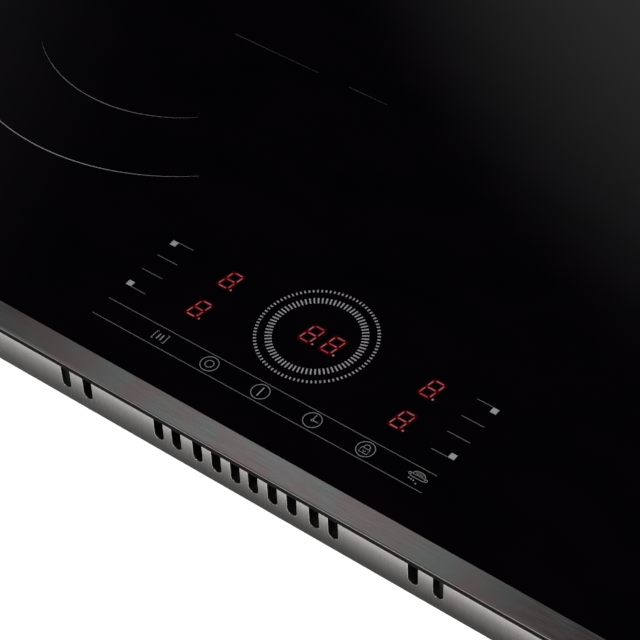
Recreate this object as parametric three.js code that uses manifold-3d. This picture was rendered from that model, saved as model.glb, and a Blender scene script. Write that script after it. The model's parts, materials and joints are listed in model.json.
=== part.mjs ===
// Built-in induction cooktop: a black glass top in a bevelled steel frame, over a sheet-steel
// chassis that holds four sprung coils, two power boards, two fans and the touch control.
// Units are millimetres. +Z is up, the front edge faces -Y, and the origin is at the centre
// of the underside.
import * as THREE from 'three';
import { mergeVertices } from 'three/addons/utils/BufferGeometryUtils.js';
import Module from 'manifold-3d';

const wasm = await Module();
wasm.setup();

// ---- Driving sizes ------------------------------------------------------------------------

const WIDTH = 590;
const DEPTH = 520;
const GLASS_TOP_Z = 50.4;
const GLASS_THICKNESS = 4;
const WORKTOP_Z = 43.85; // the level that the frame and its gasket rest on
const GAP = 0.3; // clearance between neighbouring pieces

// Steel frame round the glass
const FRAME_WIDTH = 9.24;
const FRAME_TOP_Z = GLASS_TOP_Z - 0.2;
const FRAME_FOLD_Z = GLASS_TOP_Z - 3.5;
const FRAME_FOLD_RADIUS = 0.8;
const FRAME_LIP_Z = WORKTOP_Z + 2.05;
const FRAME_SHEET = 0.8;
const FRAME_FLANGE_WIDTH = 7.3;
const FRAME_FLANGE_THICKNESS = 0.7;

// Foam gasket under the frame, from its inner to its outer edge
const GASKET_INNER = 1.6;
const GASKET_OUTER = 8.9;
const GASKET_HEIGHT = 1.75;

// Chassis
const CHASSIS_WIDTH = 555;
const CHASSIS_DEPTH = 485.6;
const CHASSIS_SHEET = 0.8;
const CHASSIS_CORNER_RADIUS = 4;
const CHASSIS_FLANGE_WIDTH = 7.4;
const CHASSIS_TOP_Z = WORKTOP_Z + 1.25;
const CHASSIS_FLANGE_THICKNESS = 0.7;

// Ventilation slots
const SLOT_WIDTH = 4.8;
const SLOT_BOTTOM_Z = 6.6;
const SLOT_TOP_Z = 30;
const FRONT_SLOT_X = [4.34, 13.72, 23.08, 33.7, 42.7, 79.6, 91.0];
const REAR_SLOTS_PER_SIDE = 10;
const REAR_SLOT_FIRST_X = 66;
const REAR_SLOT_PITCH = 14;
const INTAKE_SLOTS = 7;
const INTAKE_SLOT_PITCH = 9;
const INTAKE_SLOT_LENGTH = 62;

// Touch control, centred on the slider ring
const CONTROL_Y = -194.3;
const BOARD_THICKNESS = 1.6;
const CONTROL_BOARD_WIDTH = 190;
const CONTROL_BOARD_FRONT_Y = -237;
const CONTROL_BOARD_BACK_Y = -164;
const CONTROL_BOARD_Z = 37;
const SLIDER_OUTER_RADIUS = 26;
const SLIDER_INNER_RADIUS = 15;
const KEY_ROW_Y = CONTROL_Y - 35.4;
const BRACKET_MARGIN = 2;
const BRACKET_THICKNESS = 2;
const BRACKET_POST = 8;
const KEY_STRIP_LEFT_X = -56;
const KEY_STRIP_RIGHT_X = 80;
const KEY_STRIP_DEPTH = 8;
const DISPLAY_DEPTH = 12;
const DIGIT_WIDTH = 10;
// Each display: its name, how many digits it holds, and its centre from the slider ring's centre
const DISPLAYS = [
  ['front_left_display', 1, -46, -15.2],
  ['rear_left_display', 1, -45.6, 4.2],
  ['timer_display', 2, 3, -0.5],
  ['front_right_display', 1, 52, -16],
  ['rear_right_display', 1, 52, 2.9],
];

// Coil tray and what it carries
const TRAY_TOP_Z = 29;
const TRAY_THICKNESS = 1;
const TRAY_HALF_WIDTH = 272;
const TRAY_FRONT_Y = -174;
const TRAY_BACK_Y = 236;
const TRAY_NOTCH_HALF_WIDTH = 102;
const TRAY_NOTCH_BACK_Y = -158;
const FORMER_THICKNESS = 2;
const WINDING_THICKNESS = 3.6;
const MICA_THICKNESS = 0.6;
const FERRITE_THICKNESS = 3.2;
const FERRITE_HUB_INNER = 17;
const FERRITE_HUB_OUTER = 24;
const FERRITE_BAR_WIDTH = 12;
const FERRITE_BARS = 8;
const SENSOR_RADIUS = 6;
const SPRING_RADIUS = 13;
const SPRING_WIRE_RADIUS = 0.7;
const SPRING_TURNS = 3.5;

// Each coil: its centre, and the inner and outer radius of each of its windings
const COILS = [
  { name: 'front_left_coil', x: -161.4, y: -69.8, windings: [[22, 62], [68, 98]] },
  { name: 'rear_left_coil', x: -161.4, y: 133, windings: [[22, 74]] },
  { name: 'rear_right_coil', x: 161.4, y: 128, windings: [[22, 84]] },
  { name: 'front_right_coil', x: 161.4, y: -69.8, windings: [[22, 74]] },
];
const FORMER_RIM = 3;

// Power electronics on the chassis floor
const BOARD_Z = 5;
const POWER_BOARD_INNER_X = 72;
const POWER_BOARD_OUTER_X = 262;
const POWER_BOARD_FRONT_Y = -60;
const POWER_BOARD_BACK_Y = 148;
const HEAT_SINK_X = 190;
const HEAT_SINK_WIDTH = 66;
const HEAT_SINK_LENGTH = 120;
const HEAT_SINK_HEIGHT = 17;
const HEAT_SINK_FINS = 9;
const FIN_THICKNESS = 1.8;
const HEAT_SINK_FLOOR = 3;
const BOARD_FOOT = 6;
// What stands on the right-hand power board: its left, right, front and back edges, and its height
const POWER_BOARD_PARTS = [
  [84, 112, -48, -28, 17],
  [84, 112, -16, 4, 17],
  [84, 112, 16, 36, 17],
  [84, 120, 60, 92, 16],
  [84, 140, 112, 124, 10],
  [236, 254, -57, -47, 9],
  [236, 254, 131, 141, 9],
];
const FILTER_BOARD = [-60, 60, 96, 184];
const FILTER_BOARD_PARTS = [
  [-52, -30, 104, 134, 14],
  [30, 52, 104, 134, 14],
  [-52, 52, 168, 178, 10],
];
const CHOKE_Y = 134;
const CHOKE_INNER_RADIUS = 7;
const CHOKE_OUTER_RADIUS = 17;
const CHOKE_HEIGHT = 13;
const FAN_X = 176;
const FAN_Y = 195;
const FAN_SIZE = 76;
const FAN_HEIGHT = 19;
const FAN_BORE_RADIUS = 36.5;
const FAN_BLADES = 9;
const FAN_BLADE_LENGTH = 23;
const FAN_BLADE_PITCH = 35; // degrees
const FAN_BLADE_CHORD = 16;
const FAN_BLADE_THICKNESS = 1.2;
const FAN_CORNER_RADIUS = 5;
const FAN_HUB_RADIUS = 12;
const FAN_SHAFT_RADIUS = 2;
const FAN_SPOKE_THICKNESS = 2;

// Mains connection at the middle of the rear wall
const TERMINAL_Y = 211;
const TERMINAL_WIDTH = 60;
const TERMINAL_DEPTH = 18;
const TERMINAL_HEIGHT = 15;
const TERMINALS = 5;
const TERMINAL_PITCH = 11.5;
const TERMINAL_ENTRY = 7;
const TERMINAL_ENTRY_BOTTOM = 3;
const TERMINAL_ENTRY_TOP = 9;
const TERMINAL_SCREW_RADIUS = 2.8;
const COVER_FRONT_Y = 194;
const COVER_BACK_Y = 234;
const COVER_HALF_WIDTH = 38;
const COVER_TOP_Z = 25;
const COVER_WALL = 1.5;
const GLAND_Z = 14;
const GLAND_NECK_RADIUS = 8;
const GLAND_FLANGE_RADIUS = 11;
const GLAND_BORE_RADIUS = 5.5;

// Spring clips that hold the chassis in the worktop's cut-out
const CLIP_Y = 150;
const CLIP_WIDTH = 18;
const CLIP_FOOT_Z = 10;
const CLIP_KNEE_Z = 33;
const CLIP_TOP_Z = 39;
const CLIP_BULGE = 4;
const CLIP_SHEET = 0.7;
const CLIP_WINDOW_MARGIN = 2.5;

// ---- Derived levels -----------------------------------------------------------------------

const GLASS_BOTTOM_Z = GLASS_TOP_Z - GLASS_THICKNESS;
const GLASS_HALF_WIDTH = WIDTH / 2 - FRAME_WIDTH;
const GLASS_HALF_DEPTH = DEPTH / 2 - FRAME_WIDTH;
const UNDER_GLASS_Z = GLASS_BOTTOM_Z - GAP;
const FLOOR_Z = CHASSIS_SHEET + GAP;
const MICA_Z = UNDER_GLASS_Z - MICA_THICKNESS;
const WINDING_Z = MICA_Z - GAP - WINDING_THICKNESS;
const FORMER_Z = WINDING_Z - GAP - FORMER_THICKNESS;
const FERRITE_Z = FORMER_Z - GAP - FERRITE_THICKNESS;
const DISPLAY_Z = CONTROL_BOARD_Z + BOARD_THICKNESS + GAP;

// ---- Materials ----------------------------------------------------------------------------

const FINISHES = {
  glass: { color: 0x020203, roughness: 0.06, metalness: 0 },
  frameSteel: { color: 0x8c8a8a, roughness: 0.38, metalness: 1 },
  chassisSteel: { color: 0xa9a8a6, roughness: 0.45, metalness: 1 },
  aluminium: { color: 0xc4c6c8, roughness: 0.4, metalness: 1 },
  springSteel: { color: 0x9a9a9c, roughness: 0.3, metalness: 1 },
  foam: { color: 0x141414, roughness: 0.95, metalness: 0 },
  copper: { color: 0x9c4f2a, roughness: 0.5, metalness: 0.6 },
  ferrite: { color: 0x2b2b2d, roughness: 0.7, metalness: 0 },
  mica: { color: 0xb8b09a, roughness: 0.6, metalness: 0 },
  blackPlastic: { color: 0x17181a, roughness: 0.55, metalness: 0 },
  whitePlastic: { color: 0xd8d8d4, roughness: 0.5, metalness: 0 },
  circuitBoard: { color: 0x1d5a34, roughness: 0.45, metalness: 0 },
  display: { color: 0x2a0606, roughness: 0.4, metalness: 0 },
};

// ---- Geometry helpers ---------------------------------------------------------------------

function solid(geometry) {
  const bare = geometry.clone();
  bare.deleteAttribute('normal');
  bare.deleteAttribute('uv');
  const merged = mergeVertices(bare, 1e-4);
  return new wasm.Manifold(new wasm.Mesh({
    numProp: 3,
    vertProperties: new Float32Array(merged.attributes.position.array),
    triVerts: new Uint32Array(merged.index.array),
  }));
}

function geometryOf(body) {
  const mesh = body.getMesh();
  const indexed = new THREE.BufferGeometry();
  indexed.setAttribute('position', new THREE.BufferAttribute(mesh.vertProperties, 3));
  indexed.setIndex(new THREE.BufferAttribute(mesh.triVerts, 1));
  const geometry = indexed.toNonIndexed();
  geometry.computeVertexNormals();
  return geometry;
}

function join(pieces) {
  return geometryOf(pieces.map(solid).reduce((body, piece) => body.add(piece)));
}

function cut(geometry, holes) {
  return geometryOf(holes.map(solid).reduce((body, hole) => body.subtract(hole), solid(geometry)));
}

function extrudeUp(shape, bottom, top, curveSegments = 12) {
  const settings = { depth: top - bottom, bevelEnabled: false, curveSegments };
  return new THREE.ExtrudeGeometry(shape, settings).translate(0, 0, bottom);
}

function box(left, right, front, back, bottom, top) {
  return new THREE.BoxGeometry(right - left, back - front, top - bottom)
    .translate((left + right) / 2, (front + back) / 2, (bottom + top) / 2);
}

function rectangle(halfWidth, halfDepth, radius = 0) {
  const shape = new THREE.Shape();
  const straightX = halfWidth - radius;
  const straightY = halfDepth - radius;
  shape.moveTo(-straightX, -halfDepth);
  shape.lineTo(straightX, -halfDepth);
  if (radius) shape.absarc(straightX, -straightY, radius, -Math.PI / 2, 0);
  shape.lineTo(halfWidth, straightY);
  if (radius) shape.absarc(straightX, straightY, radius, 0, Math.PI / 2);
  shape.lineTo(-straightX, halfDepth);
  if (radius) shape.absarc(-straightX, straightY, radius, Math.PI / 2, Math.PI);
  shape.lineTo(-halfWidth, -straightY);
  if (radius) shape.absarc(-straightX, -straightY, radius, Math.PI, Math.PI * 1.5);
  return shape;
}

function disc(radius, holeRadius = 0) {
  const shape = new THREE.Shape();
  shape.absarc(0, 0, radius, 0, Math.PI * 2);
  if (holeRadius) {
    const hole = new THREE.Path();
    hole.absarc(0, 0, holeRadius, 0, Math.PI * 2, true);
    shape.holes.push(hole);
  }
  return shape;
}

function ring(holeRadius, radius, bottom, top, curveSegments = 14) {
  return extrudeUp(disc(radius, holeRadius), bottom, top, curveSegments);
}

// A slot with round ends, between two heights or lengths along Y of its shape
function slotShape(width, low, high) {
  const radius = width / 2;
  const shape = new THREE.Shape();
  shape.absarc(0, low + radius, radius, Math.PI, Math.PI * 2);
  shape.absarc(0, high - radius, radius, 0, Math.PI);
  return shape;
}

// Turns a shape drawn in X and Z into a cutter through a wall that faces the Y axis
function throughWall(shape, wallY, x = 0, curveSegments = 5) {
  const reach = 4;
  return extrudeUp(shape, -reach / 2, reach / 2, curveSegments).rotateX(Math.PI / 2).translate(x, wallY, 0);
}

// ---- Glass, frame and gasket --------------------------------------------------------------

function glassTop() {
  const edge = GAP / 2;
  const outline = rectangle(GLASS_HALF_WIDTH - edge, GLASS_HALF_DEPTH - edge, 0.6);
  return extrudeUp(outline, GLASS_BOTTOM_Z, GLASS_TOP_Z, 2);
}

// The frame's section: X runs outward from the edge of the glass, and Y is the height
function frameSection() {
  const edge = GAP / 2;
  const legInside = edge + FRAME_SHEET;
  const lipInside = FRAME_WIDTH - FRAME_SHEET;
  const flangeTop = UNDER_GLASS_Z;
  const flangeBottom = flangeTop - FRAME_FLANGE_THICKNESS;
  const foldStart = FRAME_WIDTH - FRAME_FOLD_RADIUS;
  const foldEnd = FRAME_FOLD_Z - FRAME_FOLD_RADIUS;
  const slope = (FRAME_FOLD_Z - FRAME_TOP_Z) / FRAME_WIDTH;
  const bevelUnderside = (x) => FRAME_TOP_Z - FRAME_SHEET * 1.1 + slope * x;
  const shape = new THREE.Shape();
  shape.moveTo(edge, FRAME_TOP_Z);
  shape.lineTo(edge, flangeTop);
  shape.lineTo(-FRAME_FLANGE_WIDTH, flangeTop);
  shape.lineTo(-FRAME_FLANGE_WIDTH, flangeBottom);
  shape.lineTo(legInside, flangeBottom);
  shape.lineTo(legInside, bevelUnderside(legInside));
  shape.lineTo(lipInside, bevelUnderside(lipInside));
  shape.lineTo(lipInside, FRAME_LIP_Z);
  shape.lineTo(FRAME_WIDTH, FRAME_LIP_Z);
  shape.lineTo(FRAME_WIDTH, foldEnd);
  shape.quadraticCurveTo(FRAME_WIDTH, FRAME_FOLD_Z, foldStart, FRAME_FOLD_Z - slope * FRAME_FOLD_RADIUS);
  return shape;
}

// One side of the frame, with both ends cut at 45 degrees: it lies along X and faces -Y
function frameSide(glassHalfLength) {
  const settings = { depth: 2 * glassHalfLength, bevelEnabled: false, curveSegments: 4 };
  const geometry = new THREE.ExtrudeGeometry(frameSection(), settings).translate(0, 0, -glassHalfLength);
  const position = geometry.attributes.position;
  for (let i = 0; i < position.count; i += 1) {
    const outward = position.getX(i);
    const height = position.getY(i);
    const along = position.getZ(i);
    const mitred = Math.sign(along) * (glassHalfLength + outward - GAP / 2);
    position.setXYZ(i, -mitred, -outward, height);
  }
  geometry.computeVertexNormals();
  return geometry;
}

function worktopGasket() {
  const outline = rectangle(GLASS_HALF_WIDTH + GASKET_OUTER, GLASS_HALF_DEPTH + GASKET_OUTER);
  outline.holes.push(rectangle(GLASS_HALF_WIDTH + GASKET_INNER, GLASS_HALF_DEPTH + GASKET_INNER));
  return extrudeUp(outline, WORKTOP_Z, WORKTOP_Z + GASKET_HEIGHT);
}

// ---- Chassis ------------------------------------------------------------------------------

function frontSlots() {
  const shape = slotShape(SLOT_WIDTH, SLOT_BOTTOM_Z, SLOT_TOP_Z);
  const places = FRONT_SLOT_X.flatMap((x) => [-x, x]);
  return places.map((x) => throughWall(shape, -CHASSIS_DEPTH / 2, x));
}

function rearSlots() {
  const shape = slotShape(SLOT_WIDTH, SLOT_BOTTOM_Z, SLOT_TOP_Z);
  const slots = [];
  for (let i = 0; i < REAR_SLOTS_PER_SIDE; i += 1) {
    const x = REAR_SLOT_FIRST_X + i * REAR_SLOT_PITCH;
    slots.push(throughWall(shape, CHASSIS_DEPTH / 2, x, 2), throughWall(shape, CHASSIS_DEPTH / 2, -x, 2));
  }
  return slots;
}

// Air intake slots in the floor under one fan
function intakeSlots(fanX) {
  const shape = slotShape(SLOT_WIDTH, -INTAKE_SLOT_LENGTH / 2, INTAKE_SLOT_LENGTH / 2);
  const slots = [];
  for (let i = 0; i < INTAKE_SLOTS; i += 1) {
    const x = fanX + (i - (INTAKE_SLOTS - 1) / 2) * INTAKE_SLOT_PITCH;
    slots.push(extrudeUp(shape, -1, 2, 2).translate(x, FAN_Y, 0));
  }
  return slots;
}

// Openings behind the spring clips, so that they can bend inward
function clipWindows() {
  const halfDepth = CLIP_WIDTH / 2 + CLIP_WINDOW_MARGIN;
  const bottom = CLIP_FOOT_Z - CLIP_WINDOW_MARGIN;
  const top = CLIP_TOP_Z + CLIP_WINDOW_MARGIN;
  const wall = CHASSIS_WIDTH / 2;
  const windows = [];
  for (const side of [-wall, wall]) {
    for (const y of [-CLIP_Y, CLIP_Y]) {
      windows.push(box(side - 2, side + 2, y - halfDepth, y + halfDepth, bottom, top));
    }
  }
  return windows;
}

function chassisPan() {
  const halfWidth = CHASSIS_WIDTH / 2;
  const halfDepth = CHASSIS_DEPTH / 2;
  const outer = rectangle(halfWidth, halfDepth, CHASSIS_CORNER_RADIUS);
  const flange = rectangle(
    halfWidth + CHASSIS_FLANGE_WIDTH,
    halfDepth + CHASSIS_FLANGE_WIDTH,
    CHASSIS_CORNER_RADIUS + CHASSIS_FLANGE_WIDTH,
  );
  const inner = rectangle(
    halfWidth - CHASSIS_SHEET,
    halfDepth - CHASSIS_SHEET,
    CHASSIS_CORNER_RADIUS - CHASSIS_SHEET,
  );
  const shell = join([
    extrudeUp(outer, 0, CHASSIS_TOP_Z, 4),
    extrudeUp(flange, CHASSIS_TOP_Z - CHASSIS_FLANGE_THICKNESS, CHASSIS_TOP_Z, 4),
  ]);
  const glandHole = disc(GLAND_NECK_RADIUS + GAP);
  return cut(shell, [
    extrudeUp(inner, CHASSIS_SHEET, CHASSIS_TOP_Z + 1, 4),
    throughWall(glandHole, halfDepth, 0, 16).translate(0, 0, GLAND_Z),
    ...frontSlots(),
    ...rearSlots(),
    ...intakeSlots(FAN_X),
    ...intakeSlots(-FAN_X),
    ...clipWindows(),
  ]);
}

// One leaf of spring steel: it rises from its foot, bulges outward and turns back at its top.
// It is drawn for the right-hand wall, with X measured outward from the wall
function springClip() {
  const foot = GAP;
  const shape = new THREE.Shape();
  shape.moveTo(foot, CLIP_FOOT_Z);
  shape.lineTo(foot + CLIP_SHEET, CLIP_FOOT_Z);
  shape.lineTo(CLIP_BULGE + CLIP_SHEET, CLIP_KNEE_Z);
  shape.lineTo(CLIP_BULGE / 2 + CLIP_SHEET, CLIP_TOP_Z);
  shape.lineTo(CLIP_BULGE / 2, CLIP_TOP_Z);
  shape.lineTo(CLIP_BULGE, CLIP_KNEE_Z);
  return extrudeUp(shape, -CLIP_WIDTH / 2, CLIP_WIDTH / 2).rotateX(Math.PI / 2);
}

// ---- Coils --------------------------------------------------------------------------------

function coilTray() {
  const inside = TRAY_HALF_WIDTH - TRAY_THICKNESS;
  const underside = TRAY_TOP_Z - TRAY_THICKNESS;
  const notch = TRAY_NOTCH_HALF_WIDTH;
  const wireHole = ring(0, SENSOR_RADIUS, underside - 1, TRAY_TOP_Z + 1, 4);
  return cut(box(-TRAY_HALF_WIDTH, TRAY_HALF_WIDTH, TRAY_FRONT_Y, TRAY_BACK_Y, FLOOR_Z, TRAY_TOP_Z), [
    box(-inside, inside, TRAY_FRONT_Y - 1, TRAY_BACK_Y + 1, FLOOR_Z - 1, underside),
    box(-notch, notch, TRAY_FRONT_Y - 1, TRAY_NOTCH_BACK_Y, underside - 1, TRAY_TOP_Z + 1),
    ...COILS.map((coil) => wireHole.clone().translate(coil.x, coil.y, 0)),
  ]);
}

function ferriteStar(outerRadius) {
  const hubMiddle = (FERRITE_HUB_INNER + FERRITE_HUB_OUTER) / 2;
  const pieces = [ring(FERRITE_HUB_INNER, FERRITE_HUB_OUTER, 0, FERRITE_THICKNESS, 8)];
  for (let i = 0; i < FERRITE_BARS; i += 1) {
    const half = FERRITE_BAR_WIDTH / 2;
    const bar = box(hubMiddle, outerRadius, -half, half, 0, FERRITE_THICKNESS);
    pieces.push(bar.rotateZ((i * Math.PI * 2) / FERRITE_BARS));
  }
  return join(pieces);
}

class Helix extends THREE.Curve {
  constructor(radius, turns, bottom, top) {
    super();
    Object.assign(this, { radius, turns, bottom, top });
  }

  getPoint(t, target = new THREE.Vector3()) {
    const angle = t * this.turns * Math.PI * 2;
    const height = THREE.MathUtils.lerp(this.bottom, this.top, t);
    return target.set(this.radius * Math.cos(angle), this.radius * Math.sin(angle), height);
  }
}

function coilSpring() {
  const bottom = TRAY_TOP_Z + GAP + SPRING_WIRE_RADIUS;
  const top = FORMER_Z - GAP - SPRING_WIRE_RADIUS;
  const extrudePath = new Helix(SPRING_RADIUS, SPRING_TURNS, bottom, top);
  const settings = { steps: 35, bevelEnabled: false, curveSegments: 3, extrudePath };
  return new THREE.ExtrudeGeometry(disc(SPRING_WIRE_RADIUS), settings);
}

// ---- Power electronics --------------------------------------------------------------------

// A board with what stands on it and a foot at each corner
function circuitBoard(edges, parts) {
  const [left, right, front, back] = edges;
  const top = BOARD_Z + BOARD_THICKNESS;
  const inside = BOARD_Z + BOARD_THICKNESS / 2;
  const pieces = [box(...edges, BOARD_Z, top)];
  for (const [partLeft, partRight, partFront, partBack, height] of parts) {
    pieces.push(box(partLeft, partRight, partFront, partBack, inside, top + height));
  }
  for (const x of [left + BOARD_FOOT / 3, right - BOARD_FOOT * 4 / 3]) {
    for (const y of [front + BOARD_FOOT / 3, back - BOARD_FOOT * 4 / 3]) {
      pieces.push(box(x, x + BOARD_FOOT, y, y + BOARD_FOOT, FLOOR_Z, inside));
    }
  }
  return join(pieces);
}

function powerBoard() {
  const edges = [POWER_BOARD_INNER_X, POWER_BOARD_OUTER_X, POWER_BOARD_FRONT_Y, POWER_BOARD_BACK_Y];
  return circuitBoard(edges, POWER_BOARD_PARTS);
}

function heatSink() {
  const half = HEAT_SINK_WIDTH / 2;
  const spacing = (HEAT_SINK_WIDTH - FIN_THICKNESS) / (HEAT_SINK_FINS - 1);
  const shape = new THREE.Shape();
  shape.moveTo(-half, 0);
  shape.lineTo(half, 0);
  for (let fin = HEAT_SINK_FINS - 1; fin >= 0; fin -= 1) {
    const left = -half + fin * spacing;
    shape.lineTo(left + FIN_THICKNESS, HEAT_SINK_HEIGHT);
    shape.lineTo(left, HEAT_SINK_HEIGHT);
    if (fin > 0) {
      shape.lineTo(left, HEAT_SINK_FLOOR);
      shape.lineTo(left - spacing + FIN_THICKNESS, HEAT_SINK_FLOOR);
    }
  }
  return extrudeUp(shape, -HEAT_SINK_LENGTH / 2, HEAT_SINK_LENGTH / 2).rotateX(Math.PI / 2);
}

function fanHousing() {
  const body = rectangle(FAN_SIZE / 2, FAN_SIZE / 2, FAN_CORNER_RADIUS);
  const bore = new THREE.Path();
  bore.absarc(0, 0, FAN_BORE_RADIUS, 0, Math.PI * 2, true);
  body.holes.push(bore);
  const pieces = [
    extrudeUp(body, 0, FAN_HEIGHT, 7),
    ring(0, FAN_HUB_RADIUS, 0, FAN_SPOKE_THICKNESS, 7),
    ring(0, FAN_SHAFT_RADIUS, 0, FAN_HEIGHT - 5, 6),
  ];
  for (let i = 0; i < 3; i += 1) {
    const spoke = box(FAN_HUB_RADIUS - 2, FAN_BORE_RADIUS + 1, -2, 2, 0, FAN_SPOKE_THICKNESS);
    pieces.push(spoke.rotateZ((i * Math.PI * 2) / 3 + 0.3));
  }
  return join(pieces);
}

function fanImpeller() {
  const bottom = FAN_SPOKE_THICKNESS + GAP;
  const top = FAN_HEIGHT - 1;
  const middle = (bottom + top) / 2;
  const pieces = [ring(0, FAN_HUB_RADIUS, bottom, top, 9)];
  for (let i = 0; i < FAN_BLADES; i += 1) {
    const blade = new THREE.BoxGeometry(FAN_BLADE_LENGTH, FAN_BLADE_CHORD, FAN_BLADE_THICKNESS);
    blade.rotateX(THREE.MathUtils.degToRad(FAN_BLADE_PITCH));
    blade.translate(FAN_HUB_RADIUS + FAN_BLADE_LENGTH / 2 - 1.5, 0, middle);
    pieces.push(blade.rotateZ((i * Math.PI * 2) / FAN_BLADES));
  }
  const bearing = ring(0, FAN_SHAFT_RADIUS + 0.1, bottom - 1, FAN_HEIGHT - 4, 6);
  return cut(join(pieces), [bearing]);
}

// ---- Mains connection ---------------------------------------------------------------------

// A row of terminals, with a wire entry and a screw well for each
function terminalBlock() {
  const half = TERMINAL_WIDTH / 2;
  const front = TERMINAL_Y - TERMINAL_DEPTH / 2;
  const back = TERMINAL_Y + TERMINAL_DEPTH / 2;
  const top = FLOOR_Z + TERMINAL_HEIGHT;
  const holes = [];
  const entryHalf = TERMINAL_ENTRY / 2;
  const entryLevels = [FLOOR_Z + TERMINAL_ENTRY_BOTTOM, FLOOR_Z + TERMINAL_ENTRY_TOP];
  for (let i = 0; i < TERMINALS; i += 1) {
    const x = (i - (TERMINALS - 1) / 2) * TERMINAL_PITCH;
    holes.push(box(x - entryHalf, x + entryHalf, back - TERMINAL_ENTRY, back + 1, ...entryLevels));
    holes.push(ring(0, TERMINAL_SCREW_RADIUS, top - 4, top + 1, 4).translate(x, TERMINAL_Y - 2, 0));
  }
  return cut(box(-half, half, front, back, FLOOR_Z, top), holes);
}

function terminalCover() {
  const back = CHASSIS_DEPTH / 2;
  const outer = box(-COVER_HALF_WIDTH, COVER_HALF_WIDTH, COVER_FRONT_Y, COVER_BACK_Y, FLOOR_Z, COVER_TOP_Z);
  const inner = box(
    -COVER_HALF_WIDTH + COVER_WALL,
    COVER_HALF_WIDTH - COVER_WALL,
    COVER_FRONT_Y + COVER_WALL,
    COVER_BACK_Y - COVER_WALL,
    FLOOR_Z - 1,
    COVER_TOP_Z - COVER_WALL,
  );
  const wireExit = box(-8, 8, COVER_BACK_Y - 4, back, FLOOR_Z - 1, GLAND_Z + 8);
  return cut(outer, [inner, wireExit]);
}

// A bush with a flange on each side of the rear wall
function cableGland() {
  const inner = CHASSIS_DEPTH / 2 - CHASSIS_SHEET - GAP;
  const outer = CHASSIS_DEPTH / 2 + GAP;
  const section = new THREE.Shape();
  section.moveTo(GLAND_BORE_RADIUS, inner - 5);
  section.lineTo(GLAND_FLANGE_RADIUS, inner - 5);
  section.lineTo(GLAND_FLANGE_RADIUS, inner);
  section.lineTo(GLAND_NECK_RADIUS, inner);
  section.lineTo(GLAND_NECK_RADIUS, outer);
  section.lineTo(GLAND_FLANGE_RADIUS, outer);
  section.lineTo(GLAND_FLANGE_RADIUS - 1, outer + 3);
  section.lineTo(GLAND_BORE_RADIUS, outer + 3);
  section.closePath();
  return new THREE.LatheGeometry(section.getPoints(), 16).translate(0, 0, GLAND_Z);
}

// ---- Touch control ------------------------------------------------------------------------

function controlBracket() {
  const half = CONTROL_BOARD_WIDTH / 2 + BRACKET_MARGIN;
  const front = CONTROL_BOARD_FRONT_Y - BRACKET_MARGIN;
  const back = CONTROL_BOARD_BACK_Y + BRACKET_MARGIN;
  const top = CONTROL_BOARD_Z - GAP;
  const pieces = [box(-half, half, front, back, top - BRACKET_THICKNESS, top)];
  for (const x of [-half, half - BRACKET_POST]) {
    for (const y of [front, back - BRACKET_POST]) {
      pieces.push(box(x, x + BRACKET_POST, y, y + BRACKET_POST, FLOOR_Z, top - 1));
    }
  }
  return join(pieces);
}

function controlBoard() {
  const half = CONTROL_BOARD_WIDTH / 2;
  const top = CONTROL_BOARD_Z + BOARD_THICKNESS;
  return box(-half, half, CONTROL_BOARD_FRONT_Y, CONTROL_BOARD_BACK_Y, CONTROL_BOARD_Z, top);
}

function displayModule(digits) {
  const half = (DIGIT_WIDTH * digits) / 2;
  return box(-half, half, -DISPLAY_DEPTH / 2, DISPLAY_DEPTH / 2, DISPLAY_Z, UNDER_GLASS_Z);
}

// ---- Assembly -----------------------------------------------------------------------------

const cooktop = new THREE.Group();

function place(parent, name, geometry, finish, [x, y, z] = [0, 0, 0]) {
  const mesh = new THREE.Mesh(geometry, new THREE.MeshStandardMaterial(FINISHES[finish]));
  mesh.name = name;
  mesh.position.set(x, y, z);
  parent.add(mesh);
  return mesh;
}

function addTop() {
  place(cooktop, 'glass_top', glassTop(), 'glass');
  place(cooktop, 'worktop_gasket', worktopGasket(), 'foam');
  const sides = [
    ['front_trim', GLASS_HALF_WIDTH, GLASS_HALF_DEPTH, 0],
    ['right_trim', GLASS_HALF_DEPTH, GLASS_HALF_WIDTH, Math.PI / 2],
    ['rear_trim', GLASS_HALF_WIDTH, GLASS_HALF_DEPTH, Math.PI],
    ['left_trim', GLASS_HALF_DEPTH, GLASS_HALF_WIDTH, -Math.PI / 2],
  ];
  for (const [name, halfLength, distance, turn] of sides) {
    const side = place(cooktop, name, frameSide(halfLength), 'frameSteel');
    side.rotation.z = turn;
    side.position.set(distance * Math.sin(turn), -distance * Math.cos(turn), 0);
  }
}

function addChassis() {
  place(cooktop, 'chassis_pan', chassisPan(), 'chassisSteel');
  place(cooktop, 'coil_tray', coilTray(), 'aluminium');
  for (const [side, sideX] of [['left', -1], ['right', 1]]) {
    for (const [end, endY] of [['front', -1], ['rear', 1]]) {
      const clip = place(cooktop, `${end}_${side}_clip`, springClip(), 'springSteel');
      clip.rotation.z = sideX > 0 ? 0 : Math.PI;
      clip.position.set((sideX * CHASSIS_WIDTH) / 2, endY * CLIP_Y, 0);
    }
  }
}

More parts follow.
